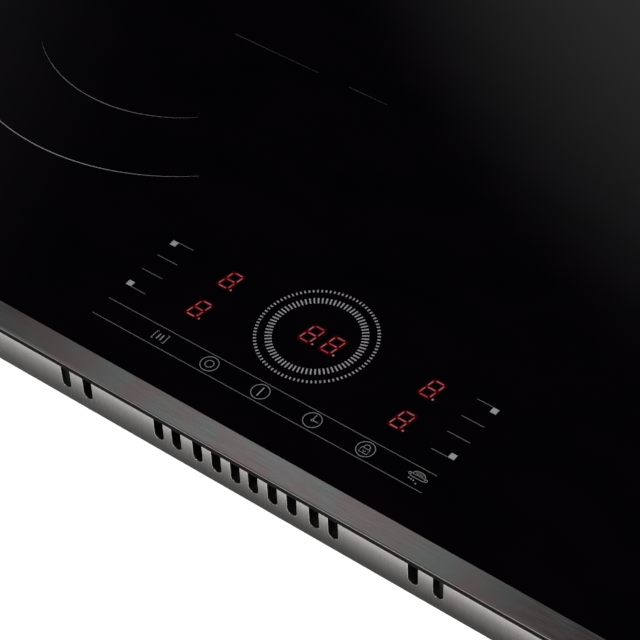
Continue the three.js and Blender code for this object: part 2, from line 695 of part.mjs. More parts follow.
function addCoil({ name, x, y, windings }) {
  const coil = new THREE.Group();
  coil.position.set(x, y, 0);
  cooktop.add(coil);
  const outerRadius = windings.at(-1)[1];
  const innerRadius = windings[0][0];
  const former = ring(SENSOR_RADIUS - 2, outerRadius + FORMER_RIM, FORMER_Z, FORMER_Z + FORMER_THICKNESS);
  place(coil, `${name}_former`, former, 'whitePlastic');
  windings.forEach(([holeRadius, radius], index) => {
    const suffix = windings.length > 1 ? ['_inner', '_outer'][index] : '';
    const winding = ring(holeRadius, radius, WINDING_Z, WINDING_Z + WINDING_THICKNESS);
    place(coil, `${name}_winding${suffix}`, winding, 'copper');
  });
  const mica = ring(SENSOR_RADIUS + 2, outerRadius, MICA_Z, UNDER_GLASS_Z);
  place(coil, `${name}_mica_disc`, mica, 'mica');
  const ferrite = ferriteStar(outerRadius - innerRadius / 4);
  place(coil, `${name}_ferrite_star`, ferrite, 'ferrite', [0, 0, FERRITE_Z]);
  const sensor = ring(0, SENSOR_RADIUS, WINDING_Z, UNDER_GLASS_Z, 8);
  place(coil, `${name}_sensor`, sensor, 'blackPlastic');
  place(coil, `${name}_spring`, coilSpring(), 'springSteel');
}

function addPower() {
  const rightBoard = powerBoard();
  place(cooktop, 'right_power_board', rightBoard, 'circuitBoard');
  const leftBoard = place(cooktop, 'left_power_board', powerBoard(), 'circuitBoard');
  leftBoard.rotation.z = Math.PI;
  leftBoard.position.y = POWER_BOARD_FRONT_Y + POWER_BOARD_BACK_Y;
  const sinkY = (POWER_BOARD_FRONT_Y + POWER_BOARD_BACK_Y) / 2;
  const aboveBoardZ = BOARD_Z + BOARD_THICKNESS + GAP;
  for (const [side, sign] of [['left', -1], ['right', 1]]) {
    place(cooktop, `${side}_heat_sink`, heatSink(), 'aluminium', [sign * HEAT_SINK_X, sinkY, aboveBoardZ]);
    place(cooktop, `${side}_fan_housing`, fanHousing(), 'blackPlastic', [sign * FAN_X, FAN_Y, FLOOR_Z]);
    place(cooktop, `${side}_fan_impeller`, fanImpeller(), 'blackPlastic', [sign * FAN_X, FAN_Y, FLOOR_Z]);
  }
  place(cooktop, 'filter_board', circuitBoard(FILTER_BOARD, FILTER_BOARD_PARTS), 'circuitBoard');
  const choke = ring(CHOKE_INNER_RADIUS, CHOKE_OUTER_RADIUS, 0, CHOKE_HEIGHT, 8);
  place(cooktop, 'filter_choke', choke, 'ferrite', [0, CHOKE_Y, aboveBoardZ]);
}

function addMains() {
  place(cooktop, 'terminal_block', terminalBlock(), 'whitePlastic');
  place(cooktop, 'terminal_cover', terminalCover(), 'blackPlastic');
  place(cooktop, 'cable_gland', cableGland(), 'blackPlastic');
}

function addControl() {
  place(cooktop, 'control_bracket', controlBracket(), 'blackPlastic');
  place(cooktop, 'control_board', controlBoard(), 'circuitBoard');
  for (const [name, digits, x, y] of DISPLAYS) {
    place(cooktop, name, displayModule(digits), 'display', [x, CONTROL_Y + y, 0]);
  }
  const slider = ring(SLIDER_INNER_RADIUS, SLIDER_OUTER_RADIUS, DISPLAY_Z, UNDER_GLASS_Z);
  place(cooktop, 'slider_ring', slider, 'blackPlastic', [0, CONTROL_Y, 0]);
  const strip = box(
    KEY_STRIP_LEFT_X,
    KEY_STRIP_RIGHT_X,
    KEY_ROW_Y - KEY_STRIP_DEPTH / 2,
    KEY_ROW_Y + KEY_STRIP_DEPTH / 2,
    DISPLAY_Z,
    UNDER_GLASS_Z,
  );
  place(cooktop, 'key_light_strip', strip, 'whitePlastic');
}

addTop();
addChassis();
COILS.forEach(addCoil);
addPower();
addMains();
addControl();

export default cooktop;
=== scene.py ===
"""The looks of a built-in induction cooktop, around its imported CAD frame.

Lengths are in metres, apart from those that a comment or a docstring gives in millimetres.
"""
import json
import math

import bmesh
import bpy
from mathutils import Matrix, Vector


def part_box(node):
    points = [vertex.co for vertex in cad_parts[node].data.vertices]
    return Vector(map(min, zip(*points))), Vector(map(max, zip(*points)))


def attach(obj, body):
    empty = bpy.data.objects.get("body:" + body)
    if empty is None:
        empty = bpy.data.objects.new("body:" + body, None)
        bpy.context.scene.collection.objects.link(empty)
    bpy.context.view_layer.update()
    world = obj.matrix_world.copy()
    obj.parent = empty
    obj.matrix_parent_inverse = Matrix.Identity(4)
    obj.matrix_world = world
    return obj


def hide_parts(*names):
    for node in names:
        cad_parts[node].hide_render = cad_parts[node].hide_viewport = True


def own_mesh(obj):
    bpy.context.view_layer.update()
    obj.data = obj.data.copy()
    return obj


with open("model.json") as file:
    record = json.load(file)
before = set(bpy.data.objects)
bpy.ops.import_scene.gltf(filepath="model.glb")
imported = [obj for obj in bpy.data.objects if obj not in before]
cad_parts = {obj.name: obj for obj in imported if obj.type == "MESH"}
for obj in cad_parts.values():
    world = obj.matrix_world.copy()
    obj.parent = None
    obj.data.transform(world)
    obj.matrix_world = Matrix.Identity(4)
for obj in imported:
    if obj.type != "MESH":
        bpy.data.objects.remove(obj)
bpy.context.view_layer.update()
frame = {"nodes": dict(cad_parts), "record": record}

MM = 0.001
CABINET = "cabinet"
COILS = ("front_left_coil", "rear_left_coil", "rear_right_coil", "front_right_coil")

GLASS_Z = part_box("glass_top")[1].z


def middle(node):
    low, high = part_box(node)
    return (low + high) / 2


# The control panel is laid out from the centre of the slider ring
CONTROL = middle("slider_ring")

# ---- Camera and light ----

LENS = 133.04
CAMERA_AIM = Vector((CONTROL.x - 4.05 * MM, CONTROL.y + 7.39 * MM, GLASS_Z))
CAMERA_DISTANCE = 0.91406
CAMERA_AZIMUTH = math.radians(38.71)
CAMERA_ELEVATION = math.radians(46.195)
CAMERA_ROLL = math.radians(-2.4175)

FLOOR_SIZE = 14.0
FLOOR_GAP = 0.3 * MM


def direction(azimuth, elevation):
    """The unit vector from the object towards a camera or lamp at this azimuth and elevation."""
    flat = math.cos(elevation)
    return Vector((math.sin(azimuth) * flat, -math.cos(azimuth) * flat, math.sin(elevation)))


def link(obj):
    bpy.context.scene.collection.objects.link(obj)
    return obj


def make_camera():
    data = bpy.data.cameras.new("camera")
    data.lens = LENS
    data.sensor_width = 36.0
    data.clip_start = 0.01
    data.clip_end = 100.0
    camera = link(bpy.data.objects.new("camera", data))
    back = direction(CAMERA_AZIMUTH, CAMERA_ELEVATION)
    camera.location = CAMERA_AIM + back * CAMERA_DISTANCE
    camera.rotation_mode = "QUATERNION"
    turned = (-back).to_track_quat("-Z", "Y").to_matrix() @ Matrix.Rotation(CAMERA_ROLL, 3, "Z")
    camera.rotation_quaternion = turned.to_quaternion()
    bpy.context.scene.camera = camera


# Each lamp: its azimuth and elevation in degrees, its distance and size in metres, and its power in watts
LAMPS = {
    "key_light": (44, 52, 3.0, (1.6, 1.2), 190),
    "right_light": (95, 60, 3.0, (1.6, 1.2), 20),
    "overhead_light": (60, 60, 3.0, (0.8, 0.8), 38),
}


def make_lights():
    for name, (azimuth, elevation, distance, size, power) in LAMPS.items():
        data = bpy.data.lights.new(name, "AREA")
        data.shape = "RECTANGLE"
        data.size, data.size_y = size
        data.energy = power
        lamp = link(bpy.data.objects.new(name, data))
        towards = direction(math.radians(azimuth), math.radians(elevation))
        lamp.location = towards * distance
        lamp.rotation_mode = "QUATERNION"
        lamp.rotation_quaternion = (-towards).to_track_quat("-Z", "Y")


# Soft patches of light on the dark studio walls: azimuth, elevation, the angle within which
# each is full, the angle at which it is gone, and its strength
GLOWS = (
    (-165, 28, 13, 21.6, 0.42),
    (-118, 32, 4, 17, 0.14),
    (-77, 64.7, 0, 7.6, 0.38),
    (-50, 52, 3, 15, 0.2),
    (-40, 25, 20, 55, 0.12),
)
# The glow at the horizon: its strength, and the heights where it has gone and where it is full
HORIZON_GLOW = 0.8
HORIZON_FADE = (0.16, 0.02)
STUDIO_DARK = 0.006


def make_world():
    """A dark studio, pale at the horizon, with soft patches of light on its walls."""
    world = bpy.data.worlds.new("studio")
    bpy.context.scene.world = world
    world.use_nodes = True
    graph = Graph(world)
    outwards = graph.node("TexCoord").outputs["Generated"]
    height = graph.node("SeparateXYZ", {"Vector": outwards}).outputs["Z"]
    total = graph.remap(height, STUDIO_DARK, HORIZON_GLOW, *HORIZON_FADE, "SMOOTHSTEP")
    for azimuth, elevation, full, gone, strength in GLOWS:
        patch = direction(math.radians(azimuth), math.radians(elevation))
        facing = graph.node("VectorMath", {0: outwards, 1: patch}, operation="DOT_PRODUCT")
        start, end = (math.cos(math.radians(angle)) for angle in (gone, full))
        glow = graph.remap(facing.outputs["Value"], 0.0, strength, start, end, "SMOOTHSTEP")
        total = graph.node("Math", {0: total, 1: glow}).outputs["Value"]
    graph.fill(world.node_tree.nodes["Background"], {"Color": total})


def make_floor():
    half = FLOOR_SIZE / 2
    mesh = bpy.data.meshes.new("floor")
    corners = [(x * half, y * half, -FLOOR_GAP) for x, y in ((-1, -1), (1, -1), (1, 1), (-1, 1))]
    mesh.from_pydata(corners, [], [(0, 1, 2, 3)])
    pale = {"Base Color": (0.86, 0.86, 0.86), "Roughness": 0.9, "Specular IOR Level": 0.1}
    mesh.materials.append(new_material("studio_floor").surface(pale))
    link(bpy.data.objects.new("floor", mesh))


# ---- Materials ----

class Graph:
    """A short way to add nodes to a material or to the world."""

    def __init__(self, owner):
        self.owner = owner
        self.tree = owner.node_tree

    def fill(self, node, values):
        """Gives a node's inputs numbers, vectors, colours or the outputs of other nodes."""
        for key, value in values.items():
            socket = node.inputs[key]
            if isinstance(value, bpy.types.NodeSocket):
                self.tree.links.new(value, socket)
            else:
                socket.default_value = (*value, 1) if socket.type == "RGBA" else value

    def node(self, kind, values=None, **settings):
        made = self.tree.nodes.new(f"ShaderNode{kind}")
        for key, value in settings.items():
            setattr(made, key, value)
        self.fill(made, values or {})
        return made

    def surface(self, values):
        """Fills the inputs of the material's shader, and returns the material."""
        self.fill(self.tree.nodes["Principled BSDF"], values)
        return self.owner

    def place(self, scale):
        """Coordinates that move with the object, stretched by scale."""
        place = self.node("TexCoord").outputs["Object"]
        return self.node("Mapping", {"Vector": place, "Scale": scale}).outputs["Vector"]

    def noise(self, size, stretch=(1, 1, 1), detail=2.0):
        """Noise whose features are about this size in metres."""
        place = self.place(tuple(part / size for part in stretch))
        values = {"Vector": place, "Scale": 1.0, "Detail": detail, "Roughness": 0.5}
        return self.node("TexNoise", values).outputs["Fac"]

    def cells(self, size, randomness=1.0, **settings):
        """The distance from the middle of the nearest cell, for cells of about this size in metres."""
        values = {"Vector": self.place((1 / size,) * 3), "Scale": 1.0, "Randomness": randomness}
        return self.node("TexVoronoi", values, **settings).outputs["Distance"]

    def stops(self, value, stops, interpolation="LINEAR"):
        """Turns a value into a colour through (position, colour) stops."""
        ramp = self.node("ValToRGB", {"Fac": value})
        ramp.color_ramp.interpolation = interpolation
        elements = ramp.color_ramp.elements
        while len(elements) < len(stops):
            elements.new(0.5)
        for element, (at, colour) in zip(elements, stops):
            element.position = at
            element.color = (*colour, 1)
        return ramp.outputs["Color"]

    def ramp(self, value, low, high, start=0.3, end=0.7):
        """Turns a 0 to 1 value into a colour between low and high."""
        return self.stops(value, ((start, low), (end, high)))

    def remap(self, value, low, high, start=0.3, end=0.7, interpolation="LINEAR"):
        values = {"Value": value, "From Min": start, "From Max": end, "To Min": low, "To Max": high}
        return self.node("MapRange", values, interpolation_type=interpolation).outputs["Result"]

    def height_shade(self, stops):
        """A painted shade, a grey that changes with the height above the base, from (millimetres, shade)
        pairs.
        """
        place = self.node("TexCoord").outputs["Object"]
        split = self.node("SeparateXYZ", {"Vector": place})
        height = self.remap(split.outputs["Z"], 0.0, 1.0, 0.0, GLASS_Z)
        return self.stops(height, [(at * MM / GLASS_Z, (shade,) * 3) for at, shade in stops])

    def multiply(self, first, second):
        values = {"Factor": 1.0, "A": first, "B": second}
        return self.node("Mix", values, data_type="RGBA", blend_type="MULTIPLY").outputs["Result"]

    def bump(self, height, depth, strength):
        """A bump this deep in metres."""
        values = {"Height": height, "Distance": depth, "Strength": strength}
        return self.node("Bump", values).outputs["Normal"]


# Every material made here, by the name it was made under
FINISHES = {}


def new_material(name):
    material = bpy.data.materials.new(name)
    material.use_nodes = True
    FINISHES[name] = material
    return Graph(material)


def glass_material(name="black_glass"):
    """Polished black glass, with faint smears in its gloss."""
    graph = new_material(name)
    smears = graph.noise(40 * MM, stretch=(1, 2.2, 1), detail=4.0)
    return graph.surface({
        "Base Color": graph.ramp(smears, (0.0002, 0.0001, 0.0003), (0.0005, 0.0002, 0.0006)),
        "Roughness": graph.remap(smears, 0.035, 0.06),
        "IOR": 1.5,
    })


def brushed_steel(name, along, tints, roughness, shade_stops, line_shade=0.86, patch=26 * MM, edge=0.8):
    """Brushed sheet whose fine lines run along X, Y or Z, with soft changes between its two tints.

    shade_stops darken it by its height. line_shade is how bright the darkest lines are, patch is
    the size of the patches of tint, and edge is how strongly the sheet reflects at a low angle.
    """
    graph = new_material(name)
    lines = graph.noise(1.6 * MM, [0.12 if axis == along else 9.0 for axis in "XYZ"], detail=3.0)
    tint = graph.ramp(graph.noise(patch, detail=2.5), *tints, 0.38, 0.62)
    shade = graph.ramp(lines, (line_shade,) * 3, (1, 1, 1))
    return graph.surface({
        # The base colour is the tint, times the brushed lines, times the painted shade by height from
        # shade_stops
        "Base Color": graph.multiply(graph.multiply(tint, shade), graph.height_shade(shade_stops)),
        "Roughness": graph.remap(lines, roughness - 0.05, roughness + 0.07),
        "Normal": graph.bump(lines, 0.02 * MM, 0.25),
        "Metallic": 1.0,
        "Specular Tint": (edge, edge, edge),
    })


def plain_metal(name, low, high, roughness, grain=3 * MM):
    """Cast, drawn or rolled metal with a fine mottled grain."""
    graph = new_material(name)
    mottle = graph.noise(grain, detail=4.0)
    return graph.surface({
        "Base Color": graph.ramp(mottle, low, high),
        "Roughness": graph.remap(mottle, roughness - 0.06, roughness + 0.08),
        "Normal": graph.bump(mottle, 0.02 * MM, 0.3),
        "Metallic": 1.0,
    })


def plastic(name, low, high, roughness, grain=0.5 * MM):
    """Moulded plastic with a fine spark-eroded texture."""
    graph = new_material(name)
    texture = graph.noise(grain)
    return graph.surface({
        "Base Color": graph.ramp(graph.noise(18 * MM), low, high),
        "Roughness": graph.remap(texture, roughness - 0.05, roughness + 0.08),
        "Normal": graph.bump(texture, 0.02 * MM, 0.4),
    })


def foam_and_gap_shade_material():
    # Black foam whose near-black colour is partly painted shade, for the dark gap under the frame's lip
    graph = new_material("gasket_foam")
    cells = graph.cells(0.5 * MM)
    return graph.surface({
        "Base Color": graph.ramp(cells, (0.0015, 0.0015, 0.0015), (0.006, 0.0055, 0.0055)),
        "Normal": graph.bump(cells, 0.15 * MM, 0.7),
        "Roughness": 0.95,
        "Specular IOR Level": 0.05,
    })


# The board's finish by distance from the middle of each pad: where each band starts, and its colour
BOARD_BANDS = (
    (0.0, (0.5, 0.5, 0.48)),
    (0.1, (0.012, 0.085, 0.03)),
    (0.2, (0.025, 0.16, 0.06)),
    (0.28, (0.013, 0.09, 0.032)),
    (0.44, (0.022, 0.145, 0.055)),
    (0.5, (0.012, 0.085, 0.03)),
)


def circuit_board_material():
    """Green solder resist over square-cornered copper tracks that run round tinned pads."""
    graph = new_material("circuit_board")
    pads = graph.cells(7 * MM, randomness=0.8, distance="CHEBYCHEV")
    bands = graph.stops(pads, BOARD_BANDS, "CONSTANT")
    return graph.surface({
        "Base Color": bands,
        "Normal": graph.bump(bands, 0.04 * MM, 0.4),
        "Roughness": 0.32,
    })


def copper_material(name, low, high):
    """Lacquered litz wire, whose fine strands show as grain."""
    graph = new_material(name)
    strands = graph.noise(0.9 * MM, detail=3.0)
    return graph.surface({
        "Base Color": graph.ramp(strands, low, high),
        "Normal": graph.bump(strands, 0.15 * MM, 0.6),
        "Metallic": 0.75,
        "Roughness": 0.42,
    })


def ink_material(name, grey):
    """Pale ceramic ink fired on the glass, with a slight grain."""
    graph = new_material(name)
    low, high = ((shade, shade, shade * 1.01) for shade in (grey * 0.86, grey * 1.08))
    return graph.surface({
        "Base Color": graph.ramp(graph.noise(0.35 * MM), low, high),
        "Roughness": 0.45,
        "Specular IOR Level": 0.3,
    })


LED_CORE = (0.52, 0.18, 0.21)
LED_EDGE = (0.44, 0.055, 0.085)
LED_POINT = (0.5, 0.33, 0.35)
LED_GLOW = (1.0, 0.015, 0.022)
GLOW_STRENGTH = 0.042


def led_material(name, low, high):
    """A lit segment seen through the glass, slightly uneven in brightness."""
    graph = new_material(name)
    return graph.surface({
        "Emission Color": graph.ramp(graph.noise(2.6 * MM, detail=1.0), low, high, 0.38, 0.6),
        "Emission Strength": 0.6,
        "Base Color": (0.01, 0.001, 0.001),
        "Roughness": 0.25,
    })


def glow_material():
    """The glass over a display, with the red glow that spreads in it."""
    graph = Graph(glass_material("display_glow"))
    glow = graph.node("Attribute", attribute_name="glow").outputs["Fac"]
    strength = graph.node("Math", {0: glow, 1: GLOW_STRENGTH}, operation="MULTIPLY").outputs["Value"]
    return graph.surface({"Emission Color": LED_GLOW, "Emission Strength": strength})


# ---- Mesh helpers ----

# Corners of a CAD node that are closer than this are one corner
WELD_DISTANCE = 0.002 * MM
SHARP_ANGLE = math.radians(40)
SMOOTH_ANGLE = math.radians(35)


def piece_from(name, shape, finish, body=CABINET):
    """A new piece from a Shape, with one of the FINISHES, riding on a body."""
    mesh = bpy.data.meshes.new(name)
    mesh.from_pydata(shape.vertices, [], shape.faces)
    mesh.validate()
    solid = bmesh.new()
    solid.from_mesh(mesh)
    bmesh.ops.recalc_face_normals(solid, faces=solid.faces)
    solid.to_mesh(mesh)
    solid.free()
    mesh.materials.append(FINISHES[finish])
    piece = link(bpy.data.objects.new(name, mesh))
    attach(piece, body)
    return piece


def bevel(node, width, edge_material=None):
    """Joins a CAD node's loose triangles and rounds its sharp edges.

    edge_material, if given, is the finish of the rounded edges.
    """
    custom_normals = node.data.attributes.get("custom_normal")
    if custom_normals:
        node.data.attributes.remove(custom_normals)
    node.data.polygons.foreach_set("use_smooth", [True] * len(node.data.polygons))
    weld = node.modifiers.new("weld", "WELD")
    weld.merge_threshold = WELD_DISTANCE
    modifier = node.modifiers.new("bevel", "BEVEL")
    modifier.width = width
    if edge_material:
        node.data.materials.append(edge_material)
        modifier.material = len(node.data.materials) - 1
    modifier.segments = 2
    modifier.limit_method = "ANGLE"
    modifier.angle_limit = SHARP_ANGLE
    modifier.harden_normals = True


class Shape:
    """Several closed shapes that make one piece."""

    def __init__(self):
        self.vertices = []
        self.faces = []

    def tube(self, rings, closed=False):
        """A skin over rings of the same number of points, which is closed or has capped ends."""
        count = len(rings[0])
        start = len(self.vertices)
        last = start + (len(rings) - 1) * count
        self.vertices += [tuple(point) for ring in rings for point in ring]
        if not closed:
            self.faces.append([start + i for i in reversed(range(count))])
            self.faces.append([last + i for i in range(count)])
        for k in range(len(rings) if closed else len(rings) - 1):
            one = start + k * count
            other = start + (k + 1) % len(rings) * count
            for i in range(count):
                after = (i + 1) % count
                self.faces.append([one + i, one + after, other + after, other + i])


def ring_of(centre, side, front, reaches, count):
    """Points round a centre, in the plane of side and front, at each of the reaches in turn."""
    angles = [2 * math.pi * i / count for i in range(count)]
    outs = [side * math.cos(angle) + front * math.sin(angle) for angle in angles]
    return [centre + out * reaches[i % len(reaches)] for i, out in enumerate(outs)]


def flat_out(angle):
    """The level unit vector at this angle."""
    return Vector((math.cos(angle), math.sin(angle), 0))


def run_at(points, i, closed):
    """The direction of a line at its point i."""
    before = points[i - 1] if i or closed else points[i]
    after = points[(i + 1) % len(points)] if i + 1 < len(points) or closed else points[i]
    return (Vector(after) - Vector(before)).normalized()


def arc_points(centre, radius, start, end, count):
    angles = [start + (end - start) * i / count for i in range(count + 1)]
    return [(centre[0] + radius * math.cos(a), centre[1] + radius * math.sin(a)) for a in angles]


# ---- Printed marks ----

INK_SUNK = 0.01 * MM
INK_HEIGHT = 0.02 * MM


class Print(Shape):
    """Flat ink shapes on the glass, each a thin closed plate, in millimetres from an origin."""

    def __init__(self, origin, height=INK_HEIGHT):
        super().__init__()
        self.origin = origin
        self.levels = (GLASS_Z - INK_SUNK, GLASS_Z + height)

    def place(self, points, z):
        return [(self.origin.x + x * MM, self.origin.y + y * MM, z) for x, y in points]

    def plate(self, points):
        """A filled convex outline."""
        self.tube([self.place(points, z) for z in self.levels])

    def stroke(self, points, width, closed=False):
        """A line of this width. width is one number, or one for each point."""
        widths = width if isinstance(width, list) else [width] * len(points)
        low, high = self.levels
        rings = []
        for i, (x, y) in enumerate(points):
            across = run_at(points, i, closed).orthogonal() * widths[i] / 2
            sides = [(x + across.x, y + across.y), (x - across.x, y - across.y)]
            rings.append(self.place(sides, high) + self.place(reversed(sides), low))
        self.tube(rings, closed)

    def rectangle(self, centre, size, turn=0.0):
        """A filled rectangle: size is (along, across), and turn is the angle of its length."""
        along, across = size[0] / 2, size[1] / 2
        c, s = math.cos(turn), math.sin(turn)
        corners = [(-along, -across), (along, -across), (along, across), (-along, across)]
        self.plate([(centre[0] + x * c - y * s, centre[1] + x * s + y * c) for x, y in corners])

    def disc(self, centre, radius, count):
        self.plate(arc_points(centre, radius, 0, 2 * math.pi, count)[:-1])

    def circle(self, radius, width, count=48):
        self.stroke(arc_points((0, 0), radius, 0, 2 * math.pi, count)[:-1], width, closed=True)

    def finish(self, name, finish):
        piece_from(name, self, finish)


# Sizes of the print and the digits are in millimetres, but their heights above the glass in metres
THIN_LINE = 0.19
DOT_RING_RADIUS = 24.0
DOT_COUNT = 90
DOT_SIZE = (1.25, 0.58)
BAR_RING_RADIUS = 18.8
BAR_COUNT = 72
BAR_SIZE = (2.8, 0.58)


def print_slider():
    """The ring slider: an outer ring of dashes, which start half a step on, and an inner ring of bars."""
    ring = Print(CONTROL)
    rings = ((DOT_COUNT, DOT_RING_RADIUS, DOT_SIZE, 0.5), (BAR_COUNT, BAR_RING_RADIUS, BAR_SIZE, 0.0))
    for count, radius, size, first in rings:
        for i in range(count):
            turn = 2 * math.pi * (i + first) / count
            ring.rectangle((radius * math.cos(turn), radius * math.sin(turn)), size, turn)
    ring.finish("print_slider", "print_ink_bright")


SELECTOR_X = 68.35
SQUARE_X = 77.1
SQUARE_SIZE = 2.6
# Each selector line: its height above the slider's centre and its outer end
SELECTOR_LINES = ((8.84, 75.7), (-1.34, 78.4), (-10.72, 78.5), (-21.0, 75.7))
SQUARE_Y = (7.5, -19.7)


def print_selectors():
    """The marks beside the digits that show which zone each digit belongs to."""
    lines, squares = Print(CONTROL), Print(CONTROL)
    for side in (-1, 1):
        for y, end in SELECTOR_LINES:
            lines.stroke([(side * SELECTOR_X, y), (side * end, y)], THIN_LINE)
        for y in SQUARE_Y:
            squares.rectangle((side * SQUARE_X, y), (SQUARE_SIZE, SQUARE_SIZE))
    lines.finish("print_selector_lines", "print_ink_thin")
    squares.finish("print_selector_squares", "print_ink_bright")


PANEL_LEFT = -78.8
PANEL_RIGHT = 77.7
PANEL_LINE_Y = (-30.7, -40.45)
KEY_Y = -35.4
KEY_RADIUS = 3.68
KEY_LINE = 0.24
# The dots under the pan
PAN_DOTS = ((-2.6, -1.2), (-1.55, -1.25), (-0.5, -1.35), (1.0, -2.2))


def print_panel_lines():
    lines = Print(CONTROL)
    for y in PANEL_LINE_Y:
        lines.stroke([(PANEL_LEFT, y), (PANEL_RIGHT, y)], THIN_LINE)
    lines.finish("print_panel_lines", "print_ink_thin")


def draw_pause(key):
    """Two upright bars between brackets, for a key that pauses all zones."""
    for side in (-1, 1):
        bar, inner, edge = 0.8 * side, 2.2 * side, 2.9 * side
        key.stroke([(bar, -1.5), (bar, 1.5)], 0.45)
        key.stroke([(inner, 2.2), (edge, 2.2), (edge, -2.2), (inner, -2.2)], KEY_LINE)


def draw_stop(key):
    key.circle(KEY_RADIUS, KEY_LINE)
    key.circle(1.75, KEY_LINE, 32)


def draw_power(key):
    key.circle(KEY_RADIUS, KEY_LINE)
    key.stroke([(0, -2.35), (0, 2.35)], 0.46)


def draw_clock(key):
    key.circle(KEY_RADIUS, KEY_LINE)
    key.circle(0.5, 0.22, 16)
    key.stroke([(0, 0.6), (0, 3.0)], KEY_LINE)
    key.stroke([(0.6, 0), (2.6, 0)], KEY_LINE)


def draw_lock(key):
    """A padlock with a curved mark for its keyhole."""
    half, top, bottom, leg = 1.8, 0.35, -2.0, 0.65
    bow = 1.25
    key.circle(KEY_RADIUS, KEY_LINE)
    key.stroke([(-half, top), (-half, bottom), (half, bottom), (half, top)], KEY_LINE, closed=True)
    key.stroke(arc_points((0, -0.6), 0.65, math.pi * 1.05, math.pi * 1.95, 10), 0.2)
    key.stroke([(bow, top), *arc_points((0, top + leg), bow, 0, math.pi, 12), (-bow, top)], KEY_LINE)


def draw_pan(key):
    """A wide pan with a loop handle at each side and two waves in its domed lid, over four dots."""
    key.stroke([(-3.1, 1.35), (-2.9, 0), (2.9, 0), (3.1, 1.35)], KEY_LINE)
    key.stroke([(-3.3, 1.35), (3.3, 1.35)], 0.2)
    turns = [math.pi * k / 14 for k in range(15)]
    key.stroke([(2.6 * math.cos(turn), 1.6 + 1.65 * math.sin(turn)) for turn in turns], KEY_LINE)
    for side in (-1, 1):
        handle = [(3.0, 0.5), (3.8, 0.45), (4.15, 0.85), (3.95, 1.4), (3.2, 1.5)]
        key.stroke([(side * x, y) for x, y in handle], 0.22)
    for wave in range(2):
        steps = [0.2 * k - 1.6 for k in range(17)]
        key.stroke([(x, 0.16 * math.sin(x * 3 + wave) + 1.9 + wave * 0.6) for x in steps], 0.12)
    for centre in PAN_DOTS:
        key.disc(centre, 0.3, 12)


# The keys from left to right: name, place, height above the row's middle and drawing
KEYS = (
    ("pause", -48.8, 0, draw_pause),
    ("stop", -24.5, 0, draw_stop),
    ("power", 0.1, 0, draw_power),
    ("clock", 24.6, 0, draw_clock),
    ("lock", 49.1, 0, draw_lock),
    ("pan", 72.4, -0.55, draw_pan),
)


def print_keys():
    for name, x, lift, draw in KEYS:
        key = Print(CONTROL + Vector((x, KEY_Y + lift, 0)) * MM)
        draw(key)
        key.finish(f"print_{name}_key", "print_ink_key")


ARC_REACH = math.radians(40)
ARC_STEPS = 40
CROSS_STEPS = 12
OUTER_ARC_WIDTH, INNER_ARC_WIDTH, CROSS_WIDTH = 0.34, 0.17, 0.2


def print_zone(name, radii):
    """Front arcs that thin out towards their ends, and a cross line at each side."""
    centre = middle(f"{name}_coil_former")
    cross, arcs = Print(centre), Print(centre)
    for radius in radii:
        most = OUTER_ARC_WIDTH if radius == radii[-1] else INNER_ARC_WIDTH
        swells = [math.sin(math.pi * i / ARC_STEPS) ** 1.2 for i in range(ARC_STEPS + 1)]
        front = -math.pi / 2
        points = arc_points((0, 0), radius, front - ARC_REACH, front + ARC_REACH, ARC_STEPS)
        arcs.stroke(points, [most * (0.12 + 0.88 * swell) for swell in swells])
    shares = [i / CROSS_STEPS for i in range(CROSS_STEPS + 1)]
    for inner, radius in zip((0.0, *radii), radii):
        start = inner + (radius - inner) * 0.45 if inner else radius / 3
        for side in (-1, 1):
            points = [(side * (start + (radius - start) * share), 0) for share in shares]
            cross.stroke(points, [CROSS_WIDTH * (1 - 0.6 * share) for share in shares])
    cross.finish(f"print_{name}_cross", "print_ink_faint")
    arcs.finish(f"print_{name}_arc", "print_ink_bright")


# The radii of each zone's printed arcs, in millimetres
ZONES = {"front_left": (68.5, 104.9), "rear_left": (80,), "rear_right": (90,), "front_right": (80,)}
INK_GREYS = {"faint": 0.024, "thin": 0.06, "key": 0.087, "bright": 0.108}


def print_marks():
    for name, grey in INK_GREYS.items():
        ink_material(f"print_ink_{name}", grey)
    print_slider()
    print_selectors()
    print_panel_lines()
    print_keys()
    for name, radii in ZONES.items():
        print_zone(name, radii)


# ---- LED digits ----

DIGIT_HEIGHT = 8.56
DIGIT_WIDTH = 4.85
DIGIT_SLANT = math.tan(math.radians(10.5))
SEGMENT_WIDTH = 0.54
SEGMENT_GAP = 0.62
POINT_OFFSET = 1.65
POINT_RADIUS = 0.42
POINT_LIFT = 0.1
LED_HEIGHT = 0.03 * MM
GLOW_HEIGHT = 0.012 * MM
GLOW_REACH = 0.72
GLOW_MARGIN = 1.55
GLOW_CELL = 0.25
# The glow of a segment stops short of its ends by this share, and the point's fades faster
GLOW_INSET = 0.12
POINT_FADE = 1.3

# Each digit: its name and its centre, measured from the slider's centre
DIGITS = (
    ("front_left_digit", -46.1, -15.0),
    ("rear_left_digit", -45.6, 4.2),
    ("timer_tens_digit", -2.04, -0.4),
    ("timer_units_digit", 8.06, -0.48),
    ("front_right_digit", 51.7, -16.0),
    ("rear_right_digit", 51.8, 3.0),
)


def segment_lines():
    """The seven segments of an 8 as (start, end), leaning to the right."""
    x, y = DIGIT_WIDTH / 2, DIGIT_HEIGHT / 2
    joints = [(-x, y), (x, y), (-x, 0), (x, 0), (-x, -y), (x, -y)]
    lean = [Vector((px + py * DIGIT_SLANT, py)) for px, py in joints]
    pairs = ((0, 1), (0, 2), (1, 3), (2, 3), (2, 4), (3, 5), (4, 5))
    return [(lean[a], lean[b]) for a, b in pairs]


